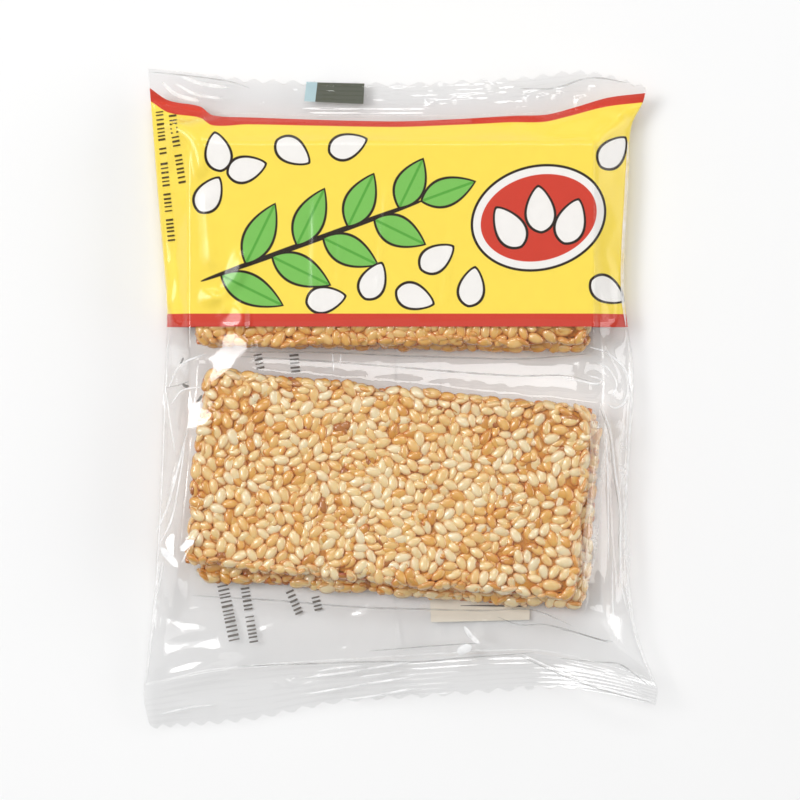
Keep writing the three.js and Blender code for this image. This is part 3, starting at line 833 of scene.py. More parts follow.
def crease_net(seed):
    """Heights of the loose front film as flat facets, and how many points they meet at."""
    draw = np.random.default_rng(seed)
    spots, raised, edges = [], {}, []
    for lift, corners in LIT_FACETS:
        edges += [(len(spots) + i, len(spots) + (i + 1) % len(corners)) for i in range(len(corners))]
        middle = np.mean(corners, axis=0)
        level = float(smooth_form(*middle)[0]) + lift
        for corner in corners:
            raised[len(spots)] = level + float(np.dot(lamp_slope(*middle), corner - middle))
            spots.append(corner)
    for corner in QUIET_FACET:
        raised[len(spots)] = float(smooth_form(*np.array(corner))[0])
        spots.append(corner)
    trial = draw.uniform((-45, -50), (45, 53), (9000, 2))
    _, _, to_rim, outside, _ = smooth_form(trial[:, 0], trial[:, 1])
    near_edge = np.minimum(to_rim, outside) < 1.1
    shut = (np.minimum(to_rim, outside) < 0.45) | (sampled(lit_plan, trial[:, 0], trial[:, 1]) > 0)
    for spot, border in zip(trial[~shut], near_edge[~shut]):
        beside = abs(spot[0]) > 34
        apart = (np.array(spots) - spot) * ((1.25, 0.62) if beside else (0.6, 1.15))
        if (np.hypot(apart[:, 0], apart[:, 1]) > NET_SPACING * (0.62 if border else 1.0)).all():
            spots.append(tuple(spot))
    corners, _, triangles, origins, *_ = geometry.delaunay_2d_cdt([Vector(p) for p in spots], edges, [], 0, 1e-6)
    flat = np.array([(c.x, c.y) for c in corners])
    smooth, _, to_rim, outside, _ = smooth_form(flat[:, 0], flat[:, 1])
    free = smooth_step(np.minimum(to_rim, outside) / 3.0)
    calm = 1 - 0.65 * smooth_step((flat[:, 0] - 30) / 5) * smooth_step((flat[:, 1] - 11) / 4)  # the print holds it
    heights = smooth + draw.uniform(-NET_ROUGHNESS, NET_ROUGHNESS, len(flat)) * (0.15 + 0.85 * free) * calm
    for i, origin in enumerate(origins):
        if origin and origin[0] in raised:
            heights[i] = raised[origin[0]]
    sheet = smooth_form(GRID_X, GRID_Y)[0]
    return soften(fill_triangles(sheet, np.column_stack([flat, heights]), triangles), 1), len(flat)


creased, corner_count = crease_net(4)
fine_creases = facets(2.4, 7, 0.05, 9)
side_streaks = facets(1.6, 14, 0.17, 21, 0)
cross_streaks = facets(16, 2.4, 0.13, 12)
taut_waves = 0.15 + facets(7, 34, 0.15, 6, 5) + facets(10, 10, 0.05, 7, 5)  # on the taut film over the snaps
seed_bumps = facets(2.2, 2.2, 0.17, 23, 1)  # seeds push at the film from below, less under the print
seal_waves = facets(6, 5, 0.4, 15, 4)
seal_bubbles = bubbles([(46, 5, 36, 50.4, 55.2), (10, -34, 4, 50.4, 54), (12, -24, -4, -50, -46)], 17)
print("creases meet at", corner_count, "points")

# %% [markdown]
# Past the inner line of a seal both films run together, crimped between heated jaws into fine ribs that follow
# the seal. The ribs are pressed more deeply in some stretches than in others, which breaks up their glint, and
# small bubbles are caught in the weld. The knife's teeth fade where an end is curled. Longer folds are ridges that
# taper to both ends. Between the stacks the film leans away from the viewer, and so mirrors the strip behind the
# top.

# %% Long folds, and the film between the stacks
FOLDS = [  # ends of each ridge (x, y, x, y), half width, height
    (-37.2, 7.5, -41.0, -24, 1.6, 0.5), (-38.5, -24, -42.8, -44, 1.6, 0.5), (-36.5, 8.5, -27, 5.5, 1.4, 0.4),
    (35.5, 9.5, 39.5, 0, 1.6, 0.6), (36.2, -9, 37.6, -36, 1.4, 0.4), (-33, -36.5, -42.5, -48, 2.0, 0.6),
    (-37.4, -6, -42.6, -22.6, 0.8, 0.32), (-38.9, 9.8, -38.2, 1.5, 0.8, 0.3), (-36.9, 5.8, -39.8, -3.5, 0.7, 0.28),
    (40.0, 2.5, 39.1, -12, 0.7, 0.36), (38.7, -14, 39.3, -31, 0.7, 0.36), (39.6, -34, 42.4, -46.5, 0.7, 0.36),
    (34.2, 11.8, 39.3, 3.2, 0.7, 0.3), (35.8, 2.0, 39.4, 1.6, 0.6, 0.25), (35.4, -1.5, 37.9, -17, 0.7, 0.3),
    (32, -38.5, 42.5, -48, 2.0, 0.4), (-8, -36.5, -14, -45, 2.2, 0.4), (14, -37.5, 12, -43.5, 2.2, 0.4),
    (-36.5, 45, -42.5, 51.5, 2.0, 0.6), (33.5, 45, 39.5, 50.5, 2.0, 0.6),
]
TAUT_FOLDS = [  # the same, over the print
    (-33.6, 37.0, -32.4, 22.0, 2.4, 0.5), (-14.5, 36.0, -15.0, 14.0, 1.3, 0.32),
    (-10.0, 30.0, -11.0, 16.0, 0.9, 0.17), (-2.0, 38.0, -4.0, 17.0, 1.1, 0.24),
    (9.0, 30.0, 7.5, 15.0, 1.0, 0.18), (33.5, 24.0, 36.5, 14.5, 1.2, 0.3),
]
GAP_SLOPES = (0.40, 0.32)  # as it falls away from the lower stack, and past the bend
GAP_BEND, GAP_FOOT = 0.42, 0.8  # shares of the way across: where it bends, and where it rises to the upper stack
GAP_FALLS = (GAP_BEND * GAP_SLOPES[0], GAP_BEND * GAP_SLOPES[0] + (GAP_FOOT - GAP_BEND) * GAP_SLOPES[1])


def fold_height(x, y, folds):
    total = np.zeros_like(x)
    for x0, y0, x1, y1, half_width, height in folds:
        share = ((x - x0) * (x1 - x0) + (y - y0) * (y1 - y0)) / ((x1 - x0) ** 2 + (y1 - y0) ** 2)
        at = np.clip(share, 0, 1)
        away = np.hypot(x - (x0 + (x1 - x0) * at), y - (y0 + (y1 - y0) * at)) / half_width
        pointed = smooth_step(np.minimum(at, 1 - at) * 5 + 0.15)
        total += height * pointed * np.maximum(1 - away, 0) ** 1.5
    return total


def between_stacks(x, y):
    """The film between the stacks, which leans towards the upper one, and the share it has at a place."""
    x0, y0, lean0 = STACKS["lower"][1]
    x1, y1, lean1 = STACKS["upper"][1]
    low = y0 + SNAP_WIDTH / 2 + SNAP_REACH + (x - x0) * math.tan(math.radians(lean0))
    high = y1 - SNAP_WIDTH / 2 - SNAP_REACH + (x - x1) * math.tan(math.radians(lean1))
    width = np.maximum(high - low, 1)
    share = (y - low) / width
    drop = width * np.where(share < GAP_BEND, GAP_SLOPES[0] * share,
                            GAP_FALLS[0] + GAP_SLOPES[1] * (share - GAP_BEND))
    drop = np.where(share > GAP_FOOT, width * GAP_FALLS[1] * (1 - share) / (1 - GAP_FOOT), drop)
    inside = smooth_step(np.minimum(share, 1 - share) * width / 0.7) * smooth_step((33.5 - np.abs(x)) / 4)
    return SNAP_TOP_Z - drop, inside


print("long folds:", len(FOLDS) + len(TAUT_FOLDS))
print("deepest fall between the stacks, per mm:", round(GAP_FALLS[1], 2))

# %% [markdown]
# Now the parts of the film come together in one function of a place. It blends the smooth form into the facets
# where the film is loose, adds the gap between the stacks, lets the film down steeply beside each snap, and runs
# both films together in the seals.

# %% Heights of the two films
def film_heights(across, y):
    """Heights of the front and back film in mm, over the whole pack."""
    across, y = np.broadcast_arrays(np.asarray(across, float), np.asarray(y, float))
    x = across_to_x(across, y)
    front, back, to_rim, outside, grounded = smooth_form(x, y)
    free = np.maximum(smooth_step(np.minimum(to_rim, outside) / 1.2), sampled(lit, x, y) * (to_rim > 0))
    beside = smooth_step((np.abs(x) - 33) / 2)
    streaks = sampled(side_streaks, x, y) * beside + sampled(cross_streaks, x, y) * (1 - beside)
    front = front * (1 - free) + sampled(creased, x, y) * free
    loose = free * (1 - sampled(lit, x, y))
    front += (sampled(fine_creases, x, y) + streaks + fold_height(x, y, FOLDS)) * loose
    gap_film, gap_share = between_stacks(x, y)
    gap_share = gap_share * (1 - sampled(lit, x, y))
    front += (gap_film + 0.15 * sampled(fine_creases, x, y) - front) * gap_share
    front = np.maximum(front, SNAP_TOP_Z - 1.5 * np.maximum(outside - 0.4, 0))
    taut = (1 - smooth_step(outside / 2)) * (1 - sampled(lit, x, y))
    pushed = sampled(seed_bumps, x, y) * (1 - 0.8 * smooth_step((y - 11) / 2))
    front += ((sampled(taut_waves, x, y) + pushed) * taut + fold_height(x, y, TAUT_FOLDS)) * smooth_step(to_rim / 3)
    slack = np.minimum(4 * grounded * (1 - grounded), 1)
    back = np.maximum(back + 0.6 * (sampled(seal_waves[::-1], x, y) + 0.3 * streaks) * slack, BACK_Z)
    front = np.maximum(front, back + 0.03)
    for line, edge, line_z, edge_z, depth, side in (
        (bottom_seal_y, bottom_edge_y, bottom_seal_z, bottom_edge_z, bottom_press, -1),
        (top_seal_y, top_edge_y, top_seal_z, top_edge_z, top_press, 1),
    ):
        share = (y - line(across)) / (edge(across) - line(across))
        pressed = depth(across) * (1 + 0.8 * sampled(seal_waves, x * 1.4, np.full_like(y, side * 30.0)))
        ribs = RIB_HEIGHT * pressed * (np.sin(math.pi * RIBS * share) ** 2 - 0.5) * smooth_step(share * 8)
        waves = 0.9 * sampled(seal_waves, x, side * 20.0 + (y - side * 50) * 0.4) * smooth_step(share * 3)
        dents = sampled(seal_bubbles, x, y) * smooth_step(share * 6)
        seal = line_z(across) + (edge_z(across) - line_z(across)) * share + ribs + waves + dents
        front = np.where(share > 0, seal + 0.04, front)
        back = np.where(share > 0, np.maximum(seal - 0.04, 0.04), back)
    return front, back


def film_z(x, y, back=False):
    x, y = np.asarray(x, float), np.asarray(y, float)
    return film_heights(x_to_across(x, y), y)[1 if back else 0]


print("film height over the lower stack:", float(film_z(0, -15).round(2)), "mm")

# %% [markdown]
# Front and back film are one closed skin, woven here as a grid that runs over the front and round under the
# back. Its rows are close together in the seals, so that each crimped rib has a few, and its columns fall on the
# teeth that the knife left along both ends.

# %% The film skin
COLUMNS = TEETH * 7
SEAL_ROWS, BODY_ROWS = 44, 160
ACROSS = np.sin(np.linspace(-1, 1, COLUMNS + 1) * 0.3 * math.pi) / math.sin(0.3 * math.pi)  # closer at the rims


def film_rows():
    """The y of every point of the grid, row by row."""
    tooth = np.abs(np.arange(COLUMNS + 1) / COLUMNS * TEETH % 1 * 2 - 1) * TOOTH_DEPTH
    bottom, top = bottom_seal_y(ACROSS), top_seal_y(ACROSS)
    rows = []
    for share in np.linspace(1, 0, SEAL_ROWS, endpoint=False):
        edge = bottom_edge_y(ACROSS) + tooth * smooth_step(share * 6 - 5) * smooth_step((0.8 - ACROSS) / 0.25)
        rows.append(bottom + (edge - bottom) * share)
    for share in np.linspace(0, 1, BODY_ROWS + 1):
        rows.append(bottom * (1 - share) + top * share)
    for share in np.linspace(0, 1, SEAL_ROWS + 1)[1:]:
        edge = top_edge_y(ACROSS) - tooth * smooth_step(share * 6 - 5) * smooth_step((0.85 + ACROSS) / 0.25)
        rows.append(top + (edge - top) * share)
    return np.array(rows)


def grid_faces(rows, columns, start=0, flip=False):
    faces = []
    for r in range(rows - 1):
        for c in range(columns - 1):
            a = start + r * columns + c
            face = (a, a + 1, a + columns + 1, a + columns)
            faces.append(face[::-1] if flip else face)
    return faces


def closed_skin(name, xs, ys, front, back):
    """Two grids of the same points, one over the other, joined all round."""
    rows, columns = ys.shape
    points = np.concatenate([np.stack([xs, ys, z], 2).reshape(-1, 3) for z in (front, back)])
    count = rows * columns
    faces = grid_faces(rows, columns) + grid_faces(rows, columns, count, True)
    for r in range(rows - 1):
        a, b = r * columns, (r + 1) * columns
        faces.append((a, b, b + count, a + count))
        a, b = a + columns - 1, b + columns - 1
        faces.append((b, a, a + count, b + count))
    for c in range(columns - 1):
        faces.append((c + 1, c, c + count, c + 1 + count))
        a = (rows - 1) * columns + c
        faces.append((a, a + 1, a + 1 + count, a + count))
    return mesh_from(name, points, faces)


film_ys = film_rows()
film_xs = across_to_x(np.broadcast_to(ACROSS, film_ys.shape), film_ys)
clear_film = closed_skin("clear_film", film_xs, film_ys, *film_heights(ACROSS[None, :], film_ys))
print("film faces:", len(clear_film.data.polygons))

# %% [markdown]
# The film is stretched polypropylene, a few hundredths of a millimetre thick. A sheet so thin doesn't bend what
# is behind it, so it is mixed from a Transparent shader and a glossy one. Fresnel nodes would take the inside of
# the pack for the inside of a block of plastic and mirror everything, so the share of gloss is worked out from
# the plain angle of view: a few parts in a hundred straight on, and rising to all of it edge on. The back film is
# tinted a little grey and lets a little less through, a painted shade on the table under the pack. Over the print
# the film is duller, because ink on its inner side roughens it and takes the place of the second mirror.

# %% Film material
def film_material(name, passed, roughness, gloss_ahead):
    material, tree = new_material(name)
    crinkle = object_noise(tree, 2.2)
    bump = add_node(tree, "ShaderNodeBump", values={"Strength": 0.25, "Distance": 0.1 * MM},
                    links={"Height": crinkle})
    angle = add_node(tree, "ShaderNodeLayerWeight", values={"Blend": 0.5}, links={"Normal": bump.outputs[0]})
    steep = add_node(tree, "ShaderNodeMath", {"operation": "POWER"}, {1: 5.0}, {0: angle.outputs["Facing"]})
    share = add_node(tree, "ShaderNodeMath", {"operation": "MULTIPLY_ADD", "use_clamp": True},
                     {1: 1.6, 2: gloss_ahead}, {0: steep.outputs[0]})
    clear = add_node(tree, "ShaderNodeBsdfTransparent", values={"Color": linear(passed)})
    gloss = add_node(tree, "ShaderNodeBsdfGlossy", values={"Color": (1, 1, 1, 1), "Roughness": roughness},
                     links={"Normal": bump.outputs[0]})
    mixed = add_node(tree, "ShaderNodeMixShader",
                     links={0: share.outputs[0], 1: clear.outputs[0], 2: gloss.outputs[0]})
    add_node(tree, "ShaderNodeOutputMaterial", links={"Surface": mixed.outputs[0]})
    return material


FILM_FINISHES = [  # name, colour that passes, roughness, and the share mirrored straight ahead
    ("oriented_polypropylene_film", "#FFFFFF", 0.06, 0.055),
    # the back's grey tint is painted shade on the table seen through the pack
    ("oriented_polypropylene_film_back", "#F9F9F9", 0.1, 0.05),
    ("oriented_polypropylene_film_over_ink", "#FFFFFF", 0.2, 0.03),
]
for finish in FILM_FINISHES:
    clear_film.data.materials.append(film_material(*finish))
front_faces = (len(film_ys) - 1) * COLUMNS
middles = np.empty(3 * len(clear_film.data.polygons))
clear_film.data.polygons.foreach_get("center", middles)
over_x, over_y = middles.reshape(-1, 3)[:front_faces, :2].T / MM
over_ink = (over_y > BAND_BOTTOM_Y + 1.1) & (over_y < band_top_y(x_to_across(over_x, over_y)) - 0.5)
finish_number = np.zeros(len(clear_film.data.polygons), int)
finish_number[front_faces:2 * front_faces] = 1
finish_number[:front_faces][over_ink] = 2
clear_film.data.polygons.foreach_set("material_index", finish_number)
print("film:", [material.name for material in clear_film.data.materials], "front faces:", front_faces)

# %% [markdown]
# A printed band runs round the upper half of the pack like a sleeve. It is printed on the inner side of the
# film, so it is a sheet of its own just under the clear skin, and its gloss comes from that skin. Every point
# keeps how far it is from both borders, which lets the red edge stripes follow the band where it bends. The
# upper one is partly rolled into the fold below the seal, and looks narrower than the lower one.

# %% The ink of the band
BAND_ROWS = 76
INK_DEPTH = 0.12  # below the outer face of the film
STRIPE = 2.25  # width of the lower one; the upper one's follows
top_stripe = through([(-1, 2.3), (-0.75, 1.9), (-0.6, 1.3), (0, 1.05), (0.5, 1.2), (0.8, 1.6), (1, 1.6)])


def ink_height(x, y, back):
    front, under = film_heights(x_to_across(x, y), y)
    middle = (front + under) / 2
    return np.minimum(under + 0.05, middle - 0.004) if back else np.maximum(front - INK_DEPTH, middle + 0.004)


def band_sheet(name, back):
    share = np.linspace(0, 1, BAND_ROWS + 1)[:, None]
    ys = BAND_BOTTOM_Y + (band_top_y(ACROSS)[None, :] - BAND_BOTTOM_Y) * share
    xs = across_to_x(np.broadcast_to(ACROSS, ys.shape), ys)
    zs = ink_height(xs, ys, back)
    sheet = mesh_from(name, np.stack([xs, ys, zs], 2).reshape(-1, 3), grid_faces(*ys.shape, 0, back))
    write_attribute(sheet, "to_bottom", ys - BAND_BOTTOM_Y)
    write_attribute(sheet, "to_top", (band_top_y(ACROSS) - ys) * STRIPE / top_stripe(ACROSS))
    return sheet


band = [band_sheet("printed_band_front", False), band_sheet("printed_band_back", True)]
print("band points:", [len(sheet.data.vertices) for sheet in band])

# %% [markdown]
# The artwork is a plain one: a sprig of green leaves, loose white seeds and a red medallion, each with a dark
# line round it. Leaf, seed and oval are one and the same rule, a half width that falls to nothing at both ends,
# so one node group draws them all from a place, a turn, a length and a width.

# %% One printed drop as a node group
SOFT_EDGE, VEIN_HALF = 0.12, 0.22  # the blur of a printed edge, and half a leaf vein's width


def printed_drop_group():
    tree = bpy.data.node_groups.new("printed_drop", "ShaderNodeTree")
    for names, kind, way in (
        ("Place Middle", "NodeSocketVector", "INPUT"),
        ("Turn Length Width Bluntness Taper Line", "NodeSocketFloat", "INPUT"),
        ("Fill Backing Vein", "NodeSocketFloat", "OUTPUT"),
    ):
        for name in names.split():
            tree.interface.new_socket(name, in_out=way, socket_type=kind)
    given = add_node(tree, "NodeGroupInput").outputs

    def maths(operation, a, b=None, clamp=False):
        values = {i: v for i, v in enumerate((a, b)) if isinstance(v, (int, float))}
        links = {i: v for i, v in enumerate((a, b)) if v is not None and i not in values}
        node = add_node(tree, "ShaderNodeMath", {"operation": operation, "use_clamp": clamp}, values, links)
        return node.outputs[0]

    moved = add_node(tree, "ShaderNodeVectorMath", {"operation": "SUBTRACT"},
                     links={0: given["Place"], 1: given["Middle"]})
    turned = add_node(tree, "ShaderNodeVectorRotate", {"rotation_type": "Z_AXIS"},
                      links={"Vector": moved.outputs[0], "Angle": maths("MULTIPLY", given["Turn"], -1.0)})
    axes = add_node(tree, "ShaderNodeSeparateXYZ", links={0: turned.outputs[0]}).outputs
    aside = maths("ABSOLUTE", axes["Y"])

    def inside(grown):
        length = maths("ADD", given["Length"], grown)
        along = maths("DIVIDE", axes["X"], maths("MULTIPLY", length, 0.5))
        round_end = maths("MAXIMUM", maths("SUBTRACT", 1.0, maths("MULTIPLY", along, along)), 0.0)
        swell = maths("POWER", round_end, given["Bluntness"])
        taper = maths("SUBTRACT", 1.0, maths("MULTIPLY", along, given["Taper"]))
        half = maths("MULTIPLY", maths("ADD", given["Width"], grown), 0.5)
        reach = maths("MULTIPLY", maths("MULTIPLY", half, swell), taper)
        return maths("DIVIDE", maths("SUBTRACT", reach, aside), SOFT_EDGE, True)

    fill = inside(0.0)
    backing = inside(maths("MULTIPLY", given["Line"], 2.0))
    vein = maths("MULTIPLY", maths("LESS_THAN", aside, VEIN_HALF), fill)
    add_node(tree, "NodeGroupOutput", links={0: fill, 1: backing, 2: vein})
    return tree


printed_drop = printed_drop_group()
print("nodes in a printed drop:", len(printed_drop.nodes))

# %% [markdown]
# Artwork is best kept as a few tables of numbers, apart from the nodes that draw it. The leaves stand in turn on
# both sides of one stem and get smaller towards its tip, which a short loop works out. The loose seeds lie as if
# scattered, so each has its own place and turn. The medallion is one oval, with three seeds fanned out in it.

# %% Artwork of the band
STEM = (-34.5, 20.5, 20.0, 41.0)  # start x and y, turn in degrees, length in mm
STEM_WIDTH = 1.1
SIDE_LEAVES = 8
LEAF_SIZE, LAST_LEAF = (11.5, 4.7), (9.5, 4.4)  # length and width


def sprig():
    """Leaves along the stem and one at its end: middle x and y, turn, length, width."""
    x0, y0, turn, length = STEM
    heading = math.radians(turn)
    leaves = []
    for i in range(SIDE_LEAVES):
        along, lean = 3.5 + 4.7 * i, math.radians(44 if i % 2 else -46)
        size = LEAF_SIZE[0] - 0.35 * i
        reach = size / 2 + 0.5
        leaves.append((x0 + along * math.cos(heading) + reach * math.cos(heading + lean),
                       y0 + along * math.sin(heading) + reach * math.sin(heading + lean),
                       heading + lean, size, LEAF_SIZE[1]))
    tip = length + 4.6
    leaves.append((x0 + tip * math.cos(heading), y0 + tip * math.sin(heading), heading, *LAST_LEAF))
    return leaves


WHITE_SEEDS = [  # middle x and y, turn in degrees
    (-33.0, 35.5, 60), (-26.5, 40.0, 15), (-18.5, 43.0, -35), (-31.5, 43.0, 100), (-9.0, 44.0, 20),
    (-12.8, 17.4, 10), (-4.6, 20.6, 65), (2.6, 17.8, -20), (6.4, 24.6, 35), (12.4, 19.6, 80), (37.0, 43.0, 50),
    (36.0, 19.0, -30),
]
WHITE_SEED_SIZE = (6.4, 4.0)
MEDALLION = (24.0, 31.5, 14.0, 23.0, 17.5)  # middle x and y, turn in degrees, length, width
MEDALLION_RIM = 2.6  # how much smaller its red field is
MEDALLION_SEEDS = [(-5.2, -1.6, 1.9), (0.2, 1.5, 1.4), (5.6, -0.6, 1.0)]  # x and y from its middle, turn
MEDALLION_SEED_SIZE = (7.6, 4.6)
print("leaves:", len(sprig()), "loose seeds:", len(WHITE_SEEDS))

# %% [markdown]
# Flexible packs are printed with a few spot inks over a white ground, which is why the band hides the snaps. The
# yellow is a strong process yellow and the red a warm one. Ink lies a little unevenly, so a soft noise takes each
# colour up and down by a few parts in a hundred.

# %% Ink materials
YELLOW, RED, WHITE, OUTLINE = "#FFE45D", "#D54838", "#F7F4F0", "#342B25"
LEAF_GREEN, VEIN_GREEN = "#82C761", "#60AD47"
LINE = 0.45  # width of the dark line round each shape


def ink_material(name, colour, spread=0.06):
    material, tree = new_material(name)
    uneven = object_noise(tree, 1.6, 3.0)
    value = add_node(tree, "ShaderNodeMath", {"operation": "MULTIPLY_ADD"}, {1: spread, 2: 1 - spread / 2},
                     {0: uneven})
    tone = add_node(tree, "ShaderNodeHueSaturation", values={"Color": linear(colour)},
                    links={"Value": value.outputs[0]})
    shader = add_node(tree, "ShaderNodeBsdfPrincipled", values={"Roughness": 0.5, "Specular IOR Level": 0.0},
                      links={"Base Color": tone.outputs[0]})
    add_node(tree, "ShaderNodeOutputMaterial", links={"Surface": shader.outputs[0]})
    return material


def band_material(with_artwork):
    material = ink_material("flexo_ink_on_film" + ("" if with_artwork else "_back"), YELLOW)
    tree = material.node_tree
    tone = next(node for node in tree.nodes if node.type == "HUE_SAT")
    place = add_node(tree, "ShaderNodeTexCoord")
    in_mm = add_node(tree, "ShaderNodeVectorMath", {"operation": "SCALE"}, {"Scale": 1 / MM},
                     {0: place.outputs["Object"]}).outputs[0]
    colour = add_node(tree, "ShaderNodeRGB")
    colour.outputs[0].default_value = linear(YELLOW)
    colour = colour.outputs[0]

    def over(below, hex_colour, mask):
        return add_node(tree, "ShaderNodeMix", {"data_type": "RGBA"}, {7: linear(hex_colour)},
                        {0: mask, 6: below}).outputs[2]

    def drops(shapes, bluntness, taper, line):
        """Masks of many drops at once: their fills, their fills with the line round them, and their veins."""
        masks = []
        for x, y, turn, length, width in shapes:
            drop = add_node(tree, "ShaderNodeGroup", {"node_tree": printed_drop}, {
                "Middle": (x, y, 0), "Turn": turn, "Length": length, "Width": width,
                "Bluntness": bluntness, "Taper": taper, "Line": line}, {"Place": in_mm})
            masks.append(drop.outputs)
        merged = []
        for output in range(3):
            mask = masks[0][output]
            for more in masks[1:]:
                larger = add_node(tree, "ShaderNodeMath", {"operation": "MAXIMUM"}, links={0: mask, 1: more[output]})
                mask = larger.outputs[0]
            merged.append(mask)
        return merged

    if with_artwork:
        x, y, turn, length, width = MEDALLION
        turn = math.radians(turn)
        rim, edge, _ = drops([(x, y, turn, length, width)], 0.5, 0.0, LINE)
        red, _, _ = drops([(x, y, turn, length - MEDALLION_RIM, width - MEDALLION_RIM)], 0.5, 0.0, 0.0)
        colour = over(over(over(colour, OUTLINE, edge), WHITE, rim), RED, red)
        x0, y0, lean, reach = STEM
        lean = math.radians(lean)
        stem = (x0 + reach / 2 * math.cos(lean), y0 + reach / 2 * math.sin(lean), lean, reach, STEM_WIDTH)
        colour = over(colour, OUTLINE, drops([stem], 0.3, 0.0, 0.0)[0])
        leaf, edge, vein = drops(sprig(), 0.9, 0.25, LINE)
        colour = over(over(over(colour, OUTLINE, edge), LEAF_GREEN, leaf), VEIN_GREEN, vein)
        seeds = [(sx, sy, math.radians(st), *WHITE_SEED_SIZE) for sx, sy, st in WHITE_SEEDS]
        seeds += [(x + dx, y + dy, turn + st, *MEDALLION_SEED_SIZE) for dx, dy, st in MEDALLION_SEEDS]
        seed, edge, _ = drops(seeds, 0.62, 0.32, LINE)
        colour = over(over(colour, OUTLINE, edge), WHITE, seed)
    stripes = []
    for border in ("to_top", "to_bottom"):
        away = add_node(tree, "ShaderNodeAttribute", {"attribute_name": border})
        stripes.append(add_node(tree, "ShaderNodeMapRange", links={"Value": away.outputs["Fac"]},
                                values={"From Min": STRIPE + 0.05, "From Max": STRIPE - 0.05}).outputs[0])
    stripe = add_node(tree, "ShaderNodeMath", {"operation": "MAXIMUM"}, links={0: stripes[0], 1: stripes[1]})
    tree.links.new(over(colour, RED, stripe.outputs[0]), tone.inputs["Color"])
    return material


for sheet, with_artwork in zip(band, (True, False)):
    sheet.data.materials.append(band_material(with_artwork))
print("band nodes:", [len(sheet.data.materials[0].node_tree.nodes) for sheet in band])

# %% [markdown]
# Small print shows as well: rows of dark ticks along the left end of the band, rows of print on the back that
# are seen from inside, a cream panel, and the dark mark on the top seal by which the machine finds where to cut.
# Each is a thin patch of ink that lies on its film, with points every millimetre or so to bend. At this size words
# are no more than groups of ticks, and a few random widths make each tick a little different.

# %% Patches of small print
PATCH_STEP = 0.9
TICK_WIDTHS, TICK_GAPS, WORD_GAP = (0.22, 0.4), (0.3, 0.55), 0.4


def patch(corners, back, points, faces, lift=0.0):
    """Adds a four-sided patch, given by its corners in order, that follows a film."""
    a, b, c, d = (np.array(corner, float) for corner in corners)
    columns = max(2, int(np.linalg.norm(b - a) / PATCH_STEP) + 1)
    rows = max(2, int(np.linalg.norm(d - a) / PATCH_STEP) + 1)
    u, v = np.meshgrid(np.linspace(0, 1, columns), np.linspace(0, 1, rows))
    u, v = u[..., None], v[..., None]
    flat = (a * (1 - u) + b * u) * (1 - v) + (d * (1 - u) + c * u) * v
    z = ink_height(flat[..., 0], flat[..., 1], back) + lift
    faces += grid_faces(rows, columns, len(points), back)
    points += np.dstack([flat, z]).reshape(-1, 3).tolist()


def print_line(x0, y0, x1, y1, width, words, back, points, faces, draw, lift):
    """A line of small print between two places, as plain ticks across it in groups as long as words."""
    start, end = np.array([x0, y0], float), np.array([x1, y1], float)
    length = np.linalg.norm(end - start)
    way = (end - start) / length
    side = np.array([-way[1], way[0]]) * width / 2
    cuts = np.cumsum(draw.uniform(0.5, 1.5, words))
    cuts = np.concatenate([[0], cuts / cuts[-1]]) * length
    for low, high in zip(cuts[:-1], cuts[1:]):
        at = low + WORD_GAP
        while at < high - 2 * WORD_GAP:
            thick = draw.uniform(*TICK_WIDTHS)
            a, b = start + way * at, start + way * (at + thick)
            patch([a - side, b - side, b + side, a + side], back, points, faces, lift)
            at += thick + draw.uniform(*TICK_GAPS)


print("ticks are", TICK_WIDTHS, "mm wide, from narrow to wide, and", TICK_GAPS, "mm apart")

# %% [markdown]
# Two lines of print run down the left end of the band. The lines on the back are paler, because they lie behind
# the pack and show only where nothing else is in front of them, and two plain bars stand in the cream panel.

# %% The pieces of small print
BAND_LINES = [  # from x and y to x and y, height of the print, number of words
    (-41.9, 50.6, -39.6, 26.5, 1.3, 5),
    (-39.6, 50.0, -37.6, 36.8, 1.3, 2),
]
BACK_LINES = [
    (-31.1, -32.0, -28.7, -43.0, 1.9, 1),
    (-27.2, -32.4, -25.4, -43.0, 1.5, 2),
    (-19.5, -33.0, -17.2, -38.2, 1.4, 1),
    (-14.9, -34.0, -14.1, -37.2, 1.4, 1),
    (-25.0, 8.4, -24.2, 4.6, 1.4, 1),
    (-18.6, 8.4, -18.2, 4.2, 1.6, 1),
]
BAND_LIFT, BACK_LIFT = 0.12, 0.02  # of the print over the ink under it


def lines_on_band(points, faces, draw):
    for line in BAND_LINES:
        print_line(*line, False, points, faces, draw, BAND_LIFT)


def lines_on_back(points, faces, draw):
    for line in BACK_LINES:
        print_line(*line, True, points, faces, draw, BACK_LIFT)
    for y in (-35.2, -36.0):
        bar = [(10.6, y), (21.5, y - 0.2), (21.5, y + 0.1), (10.6, y + 0.3)]
        patch(bar, True, points, faces, BACK_LIFT)


def ink_piece(name, colour, build):
    points, faces = [], []
    build(points, faces, np.random.default_rng(31))
    piece = mesh_from(name, points, faces)
    piece.data.materials.append(ink_material(name + "_ink", colour, 0.1))
    return piece


def ink_patch(name, colour, corners, back):
    return ink_piece(name, colour, lambda points, faces, draw: patch(corners, back, points, faces))


small_print = [
    ink_piece("band_small_print", "#5A4C30", lines_on_band),
    ink_piece("back_small_print", "#7C7874", lines_on_back),
    ink_patch("back_cream_panel", "#EFEADD", [(4.9, -26.0), (23.4, -26.0), (22.6, -38.4), (5.4, -38.8)], True),
    ink_patch("cut_mark", "#62655A", [(-14.8, 52.0), (-6.4, 51.6), (-6.2, 55.2), (-14.4, 55.4)], False),
    ink_patch("cut_mark_stripe", "#B9D2D8", [(-16.7, 52.1), (-14.8, 52.0), (-14.4, 55.4), (-16.3, 55.5)], False),
]
print("patches:", {piece.name: len(piece.data.polygons) for piece in small_print})

